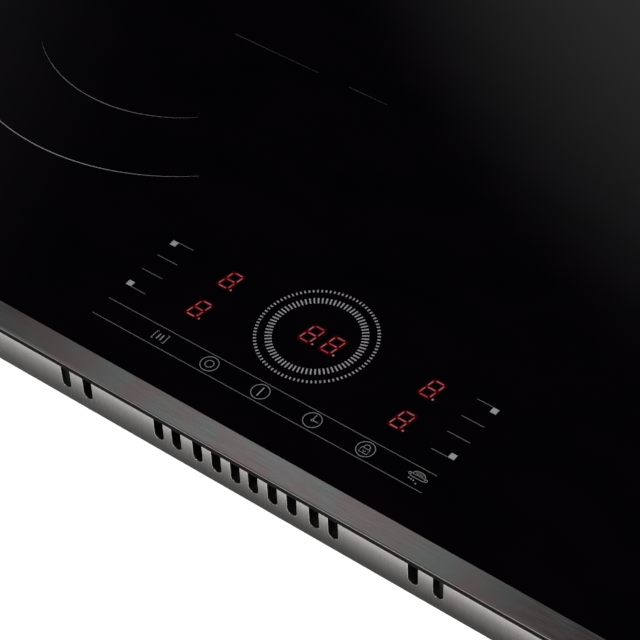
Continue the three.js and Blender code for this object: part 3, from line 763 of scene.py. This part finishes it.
def segment_outline(start, end):
    """A bar with pointed ends, short of its two joints."""
    run = (end - start).normalized()
    across = Vector((-run.y, run.x)) * SEGMENT_WIDTH / 2
    tip_a, tip_b = start + run * SEGMENT_GAP, end - run * SEGMENT_GAP
    neck_a, neck_b = tip_a + run * SEGMENT_WIDTH / 2, tip_b - run * SEGMENT_WIDTH / 2
    return [tip_a, neck_a - across, neck_b - across, tip_b, neck_b + across, neck_a + across]


def point_centre():
    """The middle of the decimal point, to the right of the digit's foot."""
    foot = DIGIT_WIDTH / 2 - DIGIT_HEIGHT / 2 * DIGIT_SLANT
    return Vector((foot + POINT_OFFSET, POINT_LIFT - DIGIT_HEIGHT / 2))


def distance_to_line(point, start, end):
    run = end - start
    share = max(0.0, min(1.0, (point - start).dot(run) / run.length_squared))
    return (point - start - run * share).length


def glow_at(point):
    """How brightly the digit glows at this point on the glass."""
    segments = [(start.lerp(end, GLOW_INSET), end.lerp(start, GLOW_INSET)) for start, end in segment_lines()]
    distances = [distance_to_line(point, start, end) for start, end in segments]
    distances.append((point - point_centre()).length * POINT_FADE)
    return sum(math.exp(-((distance / GLOW_REACH) ** 2)) for distance in distances)


def make_glow(name, centre):
    """A thin plate over the digit, with a glow that fades away from the segments."""
    half_x = DIGIT_WIDTH / 2 + GLOW_MARGIN + DIGIT_HEIGHT / 2 * DIGIT_SLANT
    half_y = DIGIT_HEIGHT / 2 + GLOW_MARGIN
    columns, rows = round(2 * half_x / GLOW_CELL), round(2 * half_y / GLOW_CELL)
    across = columns + 1
    points = [
        Vector((-half_x + 2 * half_x * i / columns, -half_y + 2 * half_y * j / rows))
        for j in range(rows + 1)
        for i in range(across)
    ]
    plate = Print(centre, GLOW_HEIGHT)
    low, high = plate.levels
    plate.vertices = plate.place(points, high)
    for j in range(rows):
        for i in range(columns):
            corner = j * across + i
            plate.faces.append((corner, corner + 1, corner + across + 1, corner + across))
    rim = list(range(across))
    rim += [j * across + columns for j in range(1, rows + 1)]
    rim += [rows * across + i for i in reversed(range(columns))]
    rim += [j * across for j in reversed(range(1, rows))]
    start = len(points)
    plate.vertices += plate.place([points[i] for i in rim], low)
    for k, corner in enumerate(rim):
        after = (k + 1) % len(rim)
        plate.faces.append((corner, rim[after], start + after, start + k))
    plate.faces.append([start + k for k in reversed(range(len(rim)))])
    layer = piece_from(name, plate, "display_glow").data.attributes.new("glow", "FLOAT", "POINT")
    layer.data.foreach_set("value", [glow_at(point) for point in points] + [0.0] * len(rim))


def make_digits():
    led_material("led_segment", LED_EDGE, LED_CORE)
    led_material("led_point", LED_CORE, LED_POINT)
    glow_material()
    for name, x, y in DIGITS:
        centre = CONTROL + Vector((x, y, 0)) * MM
        digit, point = Print(centre, LED_HEIGHT), Print(centre, LED_HEIGHT)
        for start, end in segment_lines():
            digit.plate(segment_outline(start, end))
        digit.finish(name, "led_segment")
        point.disc(point_centre(), POINT_RADIUS, 14)
        point.finish(f"{name}_point", "led_point")
        make_glow(f"{name}_glow", centre)


# ---- Small solid parts ----

UP = (0, 0, 1)
# A screw head: shares of its radius and height, and how far every other point is drawn in
SCREW_PROFILE = ((1, 0, 1), (1, 0.45, 1), (0.8, 0.9, 1), (0.55, 1, 1), (0.46, 1, 0.76), (0.42, 0.35, 0.76))
# A low domed rivet head: radius and height in metres
DOME = tuple((r * MM, h * MM) for r, h in ((1.9, -0.2), (1.9, 0.15), (1.5, 0.55), (0.9, 0.75), (0.1, 0.8)))
class Parts(Shape):
    """Small solid parts that make one piece."""

    def block(self, base, half_x, half_y, height, chamfer):
        """A box that stands on base, with chamfered top and side edges."""
        rings = []
        for up, inset in ((0.0, 0.0), (height - chamfer, 0.0), (height, chamfer)):
            x, y = half_x - inset, half_y - inset
            corners = [(chamfer - x, -y), (x - chamfer, -y), (x, chamfer - y), (x, y - chamfer)]
            corners += [(-across, -along) for across, along in corners]
            rings.append([(base[0] + across, base[1] + along, base[2] + up) for across, along in corners])
        self.tube(rings)

    def turned(self, base, axis, profile, count):
        """A shape turned about an axis from base, from (radius, height) rows.

        A row's third number, if it has one, shortens every other radius of its ring, which
        makes a star-shaped recess.
        """
        axis = Vector(axis).normalized()
        side = axis.orthogonal().normalized()
        front = axis.cross(side)
        rings = []
        for radius, height, *star in profile:
            reaches = (radius, *(radius * share for share in star))
            rings.append(ring_of(Vector(base) + axis * height, side, front, reaches, count))
        self.tube(rings)

    def screw(self, base, axis, radius, height):
        """A pan-head screw with a star recess."""
        profile = [(radius * across, height * up, star) for across, up, star in SCREW_PROFILE]
        self.turned(base, axis, profile, 24)

    def wire(self, points, radius, sides=8, closed=False):
        """A round wire along points."""
        rings = []
        side = None
        for i, point in enumerate(points):
            run = run_at(points, i, closed)
            side = run.orthogonal() if side is None else side - run * side.dot(run)
            side = side.normalized()
            rings.append(ring_of(point, side, run.cross(side), (radius,), sides))
        self.tube(rings, closed)

    def finish(self, name, finish, body=CABINET):
        piece = piece_from(name, self, finish, body)
        piece.data.polygons.foreach_set("use_smooth", [True] * len(piece.data.polygons))
        piece.data.set_sharp_from_angle(angle=SMOOTH_ANGLE)
        return piece


# ---- Coils ----

WIRE_PITCH = 3.1 * MM
WIRE_CROWN = 0.24 * MM
# The radius of the hole in a winding, and in the outer one of a coil with two
WINDING_HOLE, OUTER_WINDING_HOLE = 22 * MM, 68 * MM
FORMER_SCREW_INSET = 1.6 * MM
TURN_STEPS = 56
SPRING_WIRE = 0.7 * MM
SPRING_TURNS = 5
# The share of a turn that lies flat at each end of a spring
CLOSED_TURN = 0.75


def spiral_turns(parts, centre, inner, outer, z):
    """The crowns of a flat spiral winding, standing just above the winding's top."""
    turns = math.floor((outer - inner) / WIRE_PITCH)
    pitch = (outer - inner) / turns
    half = pitch * 0.4
    left = ((-half, -0.1 * MM), (-half, 0.02 * MM), (-half * 0.55, WIRE_CROWN * 0.8))
    section = (*left, (0, WIRE_CROWN), *((-across, up) for across, up in reversed(left)))
    rings = []
    for i in range((turns - 1) * TURN_STEPS + 1):
        angle = 2 * math.pi * i / TURN_STEPS
        radius = inner + pitch / 2 + pitch * i / TURN_STEPS
        out = flat_out(angle)
        rings.append([centre + out * (radius + across) + Vector((0, 0, z + up)) for across, up in section])
    parts.tube(rings)


def make_spring(coil):
    """A compression spring with closed ends."""
    node = f"{coil}_spring"
    low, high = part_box(node)
    centre = (low + high) / 2
    radius = (high.x - low.x) / 2 - SPRING_WIRE
    bottom, top = low.z + SPRING_WIRE, high.z - SPRING_WIRE
    points = []
    for i in range(SPRING_TURNS * TURN_STEPS + 1):
        turn = i / TURN_STEPS
        share = max(0.0, min(1.0, (turn - CLOSED_TURN) / (SPRING_TURNS - 2 * CLOSED_TURN)))
        foot = Vector((centre.x, centre.y, bottom + (top - bottom) * share))
        points.append(foot + flat_out(2 * math.pi * turn) * radius)
    spring = Parts()
    spring.wire(points, SPRING_WIRE)
    piece = spring.finish(f"{coil}_spring_wire", "spring_steel")
    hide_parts(node)
    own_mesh(piece)


def dress_coils():
    """The raised turns of each winding, the screws of its former, and its spring."""
    for coil in COILS:
        centre = middle(f"{coil}_former")
        centre.z = 0
        turns = Parts()
        for name in frame["nodes"]:
            if name.startswith(f"{coil}_winding"):
                low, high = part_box(name)
                inner = OUTER_WINDING_HOLE if name.endswith("outer") else WINDING_HOLE
                spiral_turns(turns, centre, inner, (high.x - low.x) / 2, high.z)
        turns.finish(f"{coil}_turns", "copper_litz", coil)
        low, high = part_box(f"{coil}_former")
        reach = (high.x - low.x) / 2 - FORMER_SCREW_INSET
        screws = Parts()
        for degrees in (45, 135, 225, 315):
            place = centre + flat_out(math.radians(degrees)) * reach + Vector((0, 0, high.z))
            screws.screw(place, UP, 1.3 * MM, 0.9 * MM)
        screws.finish(f"{coil}_former_screws", "spring_steel", coil)
        make_spring(coil)


# ---- Boards ----

BOARD_TOP = 6.6 * MM
# How far outside a part's edges, in millimetres, a face may be and still belong to it
SLACK = 0.1
POWER_BOARD_MIDDLE_Y = 44
# What stands on the right-hand power board: edges in millimetres (left, right, front, back) and
# its finish. The left-hand board is the same one, turned half way round.
POWER_BOARD_PARTS = (
    *((84, 112, front, front + 20, "film_capacitor") for front in (-48, -16, 16)),
    (84, 120, 60, 92, "coil_tape"),
    (84, 140, 112, 124, "white_plastic"),
    (236, 254, -57, -47, "white_plastic"),
    (236, 254, 131, 141, "white_plastic"),
)
FILTER_BOARD_PARTS = (
    (-52, -30, 104, 134, "film_capacitor"),
    (30, 52, 104, 134, "coil_tape"),
    (-52, 52, 168, 178, "white_plastic"),
)
# Round capacitors and flat chips on the right-hand board: centre x and y, then radius and
# height, or half length and half width
CANS = (
    *((x, y, 5, 14) for x in (130, 143) for y in (-44, -29)),
    *((x, 58, 4, 11) for x in (134, 145)),
    *((242, y, 4, 11) for y in (12, 24)),
    (134, 82, 6.3, 15),
)
# The top of a round capacitor: shares of its radius, and heights from its top
CAN_RIM = ((1, -0.6), (0.94, 0), (0.82, -0.25), (0.1, -0.3))
CHIPS = ((136, 0, 8, 3.2), (136, 22, 6, 3), (244, 60, 7, 3.2), (244, 92, 5, 2.6))
# A chip's bottom, top and chamfer, its legs' pitch and radius, and the legs' bends, as (distance
# out from the chip's side, height above the board), all in millimetres. A power chip's legs
# start inside it, by a share of its half width.
POWER_CHIP = (0.3, 2.0, 0.3)
POWER_LEG_PITCH = 1.8
POWER_LEG_START, POWER_LEG_HEIGHT = -0.05, 1.1
POWER_BENDS = ((0.5, POWER_LEG_HEIGHT), (0.6, 0.1), (1.3, 0.05))
CONTROL_CHIP = (0.1, 1.5, 0.25)
CONTROL_BENDS = ((-0.1, 0.7), (0.5, 0.7), (0.7, 0.1), (1.2, 0.1))
CONTROL_LEGS = 7
# Chips on one end of the touch control's board: half length, half width and y
CONTROL_CHIPS = ((6, 4.5, -186), (5, 3.5, -214))
CONTROL_CHIP_X = 76
RESISTOR_X = tuple(62 + 3.4 * i for i in range(8))
RESISTOR_Y = (-171, -200)
CONTROL_SCREW_X = 91 * MM
# The transistors' places along the heat sink in millimetres, their x, and their half depth,
# half width and height
TRANSISTOR_Y = (12, 34, 58, 82)
TRANSISTOR_X = 225.7 * MM
TRANSISTOR_SIZE = (2.3 * MM, 7.8 * MM, 14 * MM)
TRANSISTOR_LIFT = 3 * MM
LEG_PITCH = 5 * MM


def on_board(x, y, turned):
    """A point on the right-hand board, or the same point of the left-hand one if turned."""
    return (-x, 2 * POWER_BOARD_MIDDLE_Y - y) if turned else (x, y)


def paint_parts(node_name, rows, turned=False):
    """Gives the faces of each part on a board that part's own finish."""
    mesh = frame["nodes"][node_name].data
    slots = {}
    for finish in sorted({row[4] for row in rows}):
        mesh.materials.append(FINISHES[finish])
        slots[finish] = len(mesh.materials) - 1
    for polygon in mesh.polygons:
        x, y, z = polygon.center
        x, y = on_board(x / MM, y / MM, turned)
        for left, right, front, back, finish in rows:
            inside = left - SLACK <= x <= right + SLACK and front - SLACK <= y <= back + SLACK
            if inside and z > BOARD_TOP + 0.05 * MM:
                polygon.material_index = slots[finish]


def chip(bodies, legs, place, half_size, body, leg_rows):
    """A flat chip with a row of bent legs along each long side.

    leg_rows is (count, pitch, wire radius, bends). Everything but place is in millimetres.
    """
    half_long, half_wide = half_size
    bottom, top, chamfer = body
    count, pitch, radius, bends = leg_rows
    base = place + Vector((0, 0, bottom * MM))
    bodies.block(base, half_long * MM, half_wide * MM, (top - bottom) * MM, chamfer * MM)
    for i in range(count):
        along = (i - (count - 1) / 2) * pitch
        for side in (-1, 1):
            points = [place + Vector((along, side * (half_wide + out), up)) * MM for out, up in bends]
            legs.wire(points, radius * MM, 6)


def transistor(cases, legs, screws, side, y):
    """A power transistor against the heat sink, with three legs and a screw."""
    place = Vector((side * TRANSISTOR_X, y, BOARD_TOP))
    cases.block(place + Vector((0, 0, TRANSISTOR_LIFT)), *TRANSISTOR_SIZE, 0.5 * MM)
    for across in (-LEG_PITCH, 0, LEG_PITCH):
        leg = [place + Vector((0, across, up)) for up in (TRANSISTOR_LIFT + 0.2 * MM, -0.2 * MM)]
        legs.wire(leg, 0.5 * MM, 6)
    screws.screw(place + Vector((side * 2.2 * MM, 0, 12 * MM)), (side, 0, 0), 2.6 * MM, 1.4 * MM)


def dress_power_board(name, turned):
    """Painted blocks, round capacitors, chips and a row of transistors."""
    paint_parts(f"{name}_power_board", POWER_BOARD_PARTS, turned)
    cans, chips, legs, cases, screws = (Parts() for _ in range(5))
    for x, y, radius, height in CANS:
        x, y = on_board(x, y, turned)
        rim = [(radius * share * MM, (height + below) * MM) for share, below in CAN_RIM]
        cans.turned((x * MM, y * MM, BOARD_TOP), UP, [(radius * MM, 0), *rim], 28)
    for x, y, half_long, half_wide in CHIPS:
        x, y = on_board(x, y, turned)
        count = math.floor(half_long * 2 / POWER_LEG_PITCH)
        start = (POWER_LEG_START * half_wide, POWER_LEG_HEIGHT)
        leg_rows = (count, POWER_LEG_PITCH, 0.2, (start, *POWER_BENDS))
        chip(chips, legs, Vector((x * MM, y * MM, BOARD_TOP)), (half_long, half_wide), POWER_CHIP, leg_rows)
    for y in TRANSISTOR_Y:
        transistor(cases, legs, screws, -1 if turned else 1, y * MM)
    cans.finish(f"{name}_board_capacitors", "capacitor_sleeve")
    chips.finish(f"{name}_board_chips", "black_plastic")
    legs.finish(f"{name}_board_legs", "tinned_steel")
    cases.finish(f"{name}_transistors", "black_plastic")
    screws.finish(f"{name}_transistor_screws", "spring_steel")


CHOKE_TURNS = 11
CHOKE_FIRST, CHOKE_STEP = math.radians(22), math.radians(13.6)
CHOKE_INNER, CHOKE_OUTER, CHOKE_BEND = 6.3 * MM, 17.7 * MM, 0.9 * MM


def dress_filter_board():
    """Painted blocks, and the copper turns of the choke's two windings."""
    paint_parts("filter_board", FILTER_BOARD_PARTS)
    low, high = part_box("filter_choke")
    top = (high.z - low.z) / 2 + 0.5 * MM
    outline = []
    for radius, bend in ((CHOKE_INNER, CHOKE_BEND), (CHOKE_OUTER, -CHOKE_BEND)):
        side = [(radius + bend, 0.3 * MM - top), (radius, 0.3 * MM - top + CHOKE_BEND)]
        side += [(radius, top - CHOKE_BEND), (radius + bend, top)]
        outline += side if bend > 0 else reversed(side)
    turns = Parts()
    for half in (0, math.pi):
        for i in range(CHOKE_TURNS):
            out = flat_out(half + CHOKE_FIRST + CHOKE_STEP * i)
            corners = [(low + high) / 2 + out * radius + Vector((0, 0, z)) for radius, z in outline]
            turns.wire(corners, 0.45 * MM, closed=True)
    turns.finish("filter_choke_turns", "enamelled_wire")


def dress_control_board():
    """Chips, resistors and screws on the free ends of the touch control's board."""
    low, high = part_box("control_board")
    chips, resistors, legs, screws = (Parts() for _ in range(4))
    for side in (-1, 1):
        for half_long, half_wide, y in CONTROL_CHIPS:
            place = Vector((side * CONTROL_CHIP_X * MM, y * MM, high.z))
            leg_rows = (CONTROL_LEGS, half_long * 0.28, 0.14, CONTROL_BENDS)
            chip(chips, legs, place, (half_long, half_wide), CONTROL_CHIP, leg_rows)
        for x in RESISTOR_X:
            for y in RESISTOR_Y:
                resistors.block((side * x * MM, y * MM, high.z), 0.9 * MM, 0.5 * MM, 0.5 * MM, 0.1 * MM)
        for y in (low.y + 4 * MM, high.y - 4 * MM):
            screws.screw((side * CONTROL_SCREW_X, y, high.z), UP, 2.2 * MM, 1.5 * MM)
    chips.finish("control_board_chips", "black_plastic")
    resistors.finish("control_board_resistors", "ferrite")
    legs.finish("control_board_legs", "tinned_steel")
    screws.finish("control_board_screws", "spring_steel")


# ---- Fixings ----

FAN_SCREW_INSET = 5 * MM
# The cap's profile in millimetres: radius and height above the hub
FAN_CAP = ((10.5, -0.2), (10.5, 0.25), (10.1, 0.5), (8.6, 0.5))
FAN_CAP += ((8.2, 0.15), (2.2, 0.15), (1.6, 0.5), (0.2, 0.5))


def dress_fans():
    """Corner screws on each housing, and a dished cap on each hub."""
    for name in ("left", "right"):
        low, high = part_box(f"{name}_fan_housing")
        screws = Parts()
        for x in (low.x + FAN_SCREW_INSET, high.x - FAN_SCREW_INSET):
            for y in (low.y + FAN_SCREW_INSET, high.y - FAN_SCREW_INSET):
                screws.screw((x, y, high.z), UP, 2.4 * MM, 1.6 * MM)
        screws.finish(f"{name}_fan_screws", "spring_steel")
        hub = middle(f"{name}_fan_housing")
        hub.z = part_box(f"{name}_fan_impeller")[1].z
        cap = Parts()
        cap.turned(hub, UP, [(radius * MM, up * MM) for radius, up in FAN_CAP], 40)
        cap.finish(f"{name}_fan_cap", "black_plastic", f"{name}_fan_rotor")


UNDERSIDE_SCREWS_X = (-255, -130, 130, 255)
UNDERSIDE_SCREWS_Y = (-225, -40, 110, 225)
CLIPS = ("front_left_clip", "front_right_clip", "rear_left_clip", "rear_right_clip")
# How far the clip's face at its foot is from its widest point, across the chassis
CLIP_FOOT_IN = 3.15 * MM
TERMINAL_PITCH = 11.5 * MM
REAR_RIVETS_X = (-40, -22, 22, 40)


def dress_chassis():
    """Low screws under the base, and rivets through the rear wall beside the cable gland."""
    underside = Parts()
    for x in UNDERSIDE_SCREWS_X:
        for y in UNDERSIDE_SCREWS_Y:
            underside.screw((x * MM, y * MM, 0.1 * MM), (0, 0, -1), 2.8 * MM, 0.3 * MM)
    underside.finish("underside_screws", "spring_steel")
    wall_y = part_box("cable_gland")[0].y + 6.1 * MM
    rivets = Parts()
    for x in REAR_RIVETS_X:
        rivets.turned((x * MM, wall_y, 19 * MM), (0, 1, 0), DOME, 20)
    rivets.finish("rear_wall_rivets", "mill_aluminium")
    clip_rivets()
    terminal_screws()


def clip_rivets():
    """Two rivets through the foot of each spring clip, riding on the clip."""
    for name in CLIPS:
        low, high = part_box(name)
        side = 1 if low.x > 0 else -1
        face = (high.x if side > 0 else low.x) - side * CLIP_FOOT_IN
        rivets = Parts()
        for across in (-5 * MM, 5 * MM):
            base = (face, (low.y + high.y) / 2 + across, low.z + 3.5 * MM)
            rivets.turned(base, (side, 0, 0), DOME, 20)
        rivets.finish(f"{name}_rivets", "mill_aluminium", f"{name}_leaf")


def terminal_screws():
    low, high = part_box("terminal_block")
    screws = Parts()
    for i in (-2, -1, 0, 1, 2):
        screws.screw((i * TERMINAL_PITCH, (low.y + high.y) / 2, high.z - 5.5 * MM), UP, 2.4 * MM, 1.8 * MM)
    screws.finish("terminal_screws", "brass")


# ---- CAD nodes that stay ----

# The frame steel's two tints, pink and green, blend in soft patches that are painted reflection: they stand
# in for blurred reflections of the room in the satin steel
FRAME_PAINTED_REFLECTION_TINTS = ((0.475, 0.39, 0.4), (0.42, 0.452, 0.444))
SHEET_TINTS = ((0.97, 0.93, 0.905), (1.0, 0.975, 0.945))
# The sheet's outside has painted shade, darker towards its foot, and the frame has painted shade, darker
# towards its lip
SHEET_SHADE = ((0.05, 0.6), (0.15, 0.028), (3.5, 0.032), (7, 0.062))
SHEET_SHADE += ((12, 0.125), (20, 0.33), (29, 0.66), (38, 1.0))
FACING_OUT = 0.3
CHASSIS_FLANGE = 7.4 * MM
WALL_MARGIN = 1.3 * MM
# The cut edges' painted shade: near black at the very foot, lighter with height
CUT_EDGE_SHADE = ((0.4, 0.05), (5, 0.5), (24, 0.9))
# The frame's painted shade: near black on the lip under its fold, full brightness on the bevel above it
FRAME_SHADE = ((46.48, 0.02), (46.93, 1.0))


def node_materials():
    """One material for each of the record's slots. The frame's own depends on the side's direction."""
    return {
        "glass": glass_material(),
        # Painted shade: this sheet is painted near black, for the shade inside the chassis. The pan's
        # outside and underside get other finishes.
        "chassis_steel": plain_metal("inner_sheet", (0.06, 0.06, 0.06), (0.1, 0.1, 0.1), 0.42, 7 * MM),
        "gasket_foam": foam_and_gap_shade_material(),
        "aluminium": plain_metal("mill_aluminium", (0.6, 0.61, 0.62), (0.72, 0.73, 0.74), 0.38),
        "spring_steel": plain_metal("spring_steel", (0.36, 0.36, 0.37), (0.46, 0.46, 0.47), 0.3),
        # The windings' body is painted much darker than the raised turns on it: painted shade in the grooves
        # between the turns
        "copper_litz": copper_material("copper_varnish", (0.05, 0.014, 0.006), (0.12, 0.04, 0.018)),
        "ferrite": plastic("ferrite", (0.028, 0.028, 0.03), (0.05, 0.05, 0.053), 0.6, 0.8 * MM),
        "mica": plastic("mica_sheet", (0.4, 0.34, 0.24), (0.55, 0.5, 0.4), 0.5, 1.5 * MM),
        "black_plastic": plastic("black_plastic", (0.012, 0.012, 0.013), (0.02, 0.02, 0.021), 0.5),
        "white_plastic": plastic("white_plastic", (0.42, 0.42, 0.39), (0.5, 0.5, 0.47), 0.48),
        "circuit_board": circuit_board_material(),
        "display": plastic("display_window", (0.02, 0.002, 0.002), (0.03, 0.003, 0.003), 0.3),
    }


def make_part_finishes():
    """The finishes of the small parts on the boards and of the fixings."""
    plastic("film_capacitor", (0.1, 0.11, 0.13), (0.15, 0.16, 0.19), 0.42)
    plastic("coil_tape", (0.5, 0.33, 0.02), (0.62, 0.42, 0.05), 0.35, 0.8 * MM)
    plastic("capacitor_sleeve", (0.012, 0.02, 0.045), (0.02, 0.03, 0.07), 0.3)
    plain_metal("tinned_steel", (0.6, 0.6, 0.6), (0.75, 0.75, 0.74), 0.28, 0.8 * MM)
    plain_metal("enamelled_wire", (0.42, 0.13, 0.035), (0.6, 0.22, 0.08), 0.25, 1.5 * MM)
    plain_metal("brass", (0.55, 0.38, 0.14), (0.7, 0.5, 0.22), 0.3, 1.2 * MM)
    copper_material("copper_litz", (0.24, 0.075, 0.028), (0.56, 0.24, 0.11))


# How far the edges of the CAD nodes are rounded, by the ends of their names
NODE_BEVELS = (
    (0.1 * MM, ("_clip", "mica_disc")),
    (0.15 * MM, ("fan_impeller",)),
    (0.2 * MM, ("heat_sink", "control_board")),
    (0.25 * MM, ("display", "slider_ring", "key_light_strip")),
    (0.3 * MM, ("winding", "winding_inner", "winding_outer", "power_board", "filter_board", "coil_tray")),
    (0.3 * MM, ("terminal_block", "control_bracket", "cable_gland", "ferrite_star", "coil_former")),
    (0.4 * MM, ("terminal_cover", "coil_sensor", "fan_housing")),
    (0.6 * MM, ("filter_choke",)),
)


def dress_nodes():
    """Gives every CAD node its finish and its rounded edges."""
    slots = {row["node"]: row["material_slot"] for row in frame["record"]["subparts"]}
    materials = node_materials()
    for along in "XY":
        steel_name = f"frame_steel_{along.lower()}"
        steel = brushed_steel(steel_name, along, FRAME_PAINTED_REFLECTION_TINTS, 0.15, FRAME_SHADE, 0.96, 15 * MM, 0.45)
        materials[steel_name] = steel
    for name, node in frame["nodes"].items():
        slot = slots[name]
        if slot == "frame_steel":
            slot += "_x" if name in ("front_trim", "rear_trim") else "_y"
        node.data.materials.clear()
        node.data.materials.append(materials[slot])
        for width, endings in NODE_BEVELS:
            if name.endswith(endings):
                bevel(node, width)
    dress_chassis_walls()


def dress_chassis_walls():
    """Brushed sheet with painted shade, darker towards the foot, on the outside of the chassis walls, and
    bright cut edges with painted shade by height.
    """
    pan = frame["nodes"]["chassis_pan"]
    _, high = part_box("chassis_pan")
    walls = (high.x - CHASSIS_FLANGE - WALL_MARGIN, high.y - CHASSIS_FLANGE - WALL_MARGIN)
    pan.data.materials.append(brushed_steel("chassis_wall", "Z", SHEET_TINTS, 0.26, SHEET_SHADE, edge=0.9))
    pan.data.materials.append(plain_metal("zinc_sheet", (0.4, 0.4, 0.4), (0.52, 0.52, 0.52), 0.42, 7 * MM))
    # Faces neither outside nor underneath keep the first finish, the inside's dark painted shade, which also
    # darkens the slots' sides
    outside, underneath = 1, 2
    for polygon in pan.data.polygons:
        ways = zip(polygon.center, polygon.normal, walls)
        faces_out = any(abs(at) > wall and out * at > FACING_OUT * abs(at) for at, out, wall in ways)
        if polygon.center.z < 0.1 * MM:
            polygon.material_index = underneath
        elif faces_out:
            polygon.material_index = outside
    cut_edge = brushed_steel("cut_steel_edge", "Z", SHEET_TINTS, 0.3, CUT_EDGE_SHADE)
    bevel(pan, 0.25 * MM, cut_edge)


def dress_inside():
    make_part_finishes()
    dress_coils()
    dress_power_board("right", False)
    dress_power_board("left", True)
    dress_filter_board()
    dress_control_board()
    dress_fans()
    dress_chassis()


bpy.context.scene.view_settings.view_transform = "Standard"
make_camera()
make_lights()
make_world()
make_floor()
dress_nodes()
dress_inside()
print_marks()
make_digits()
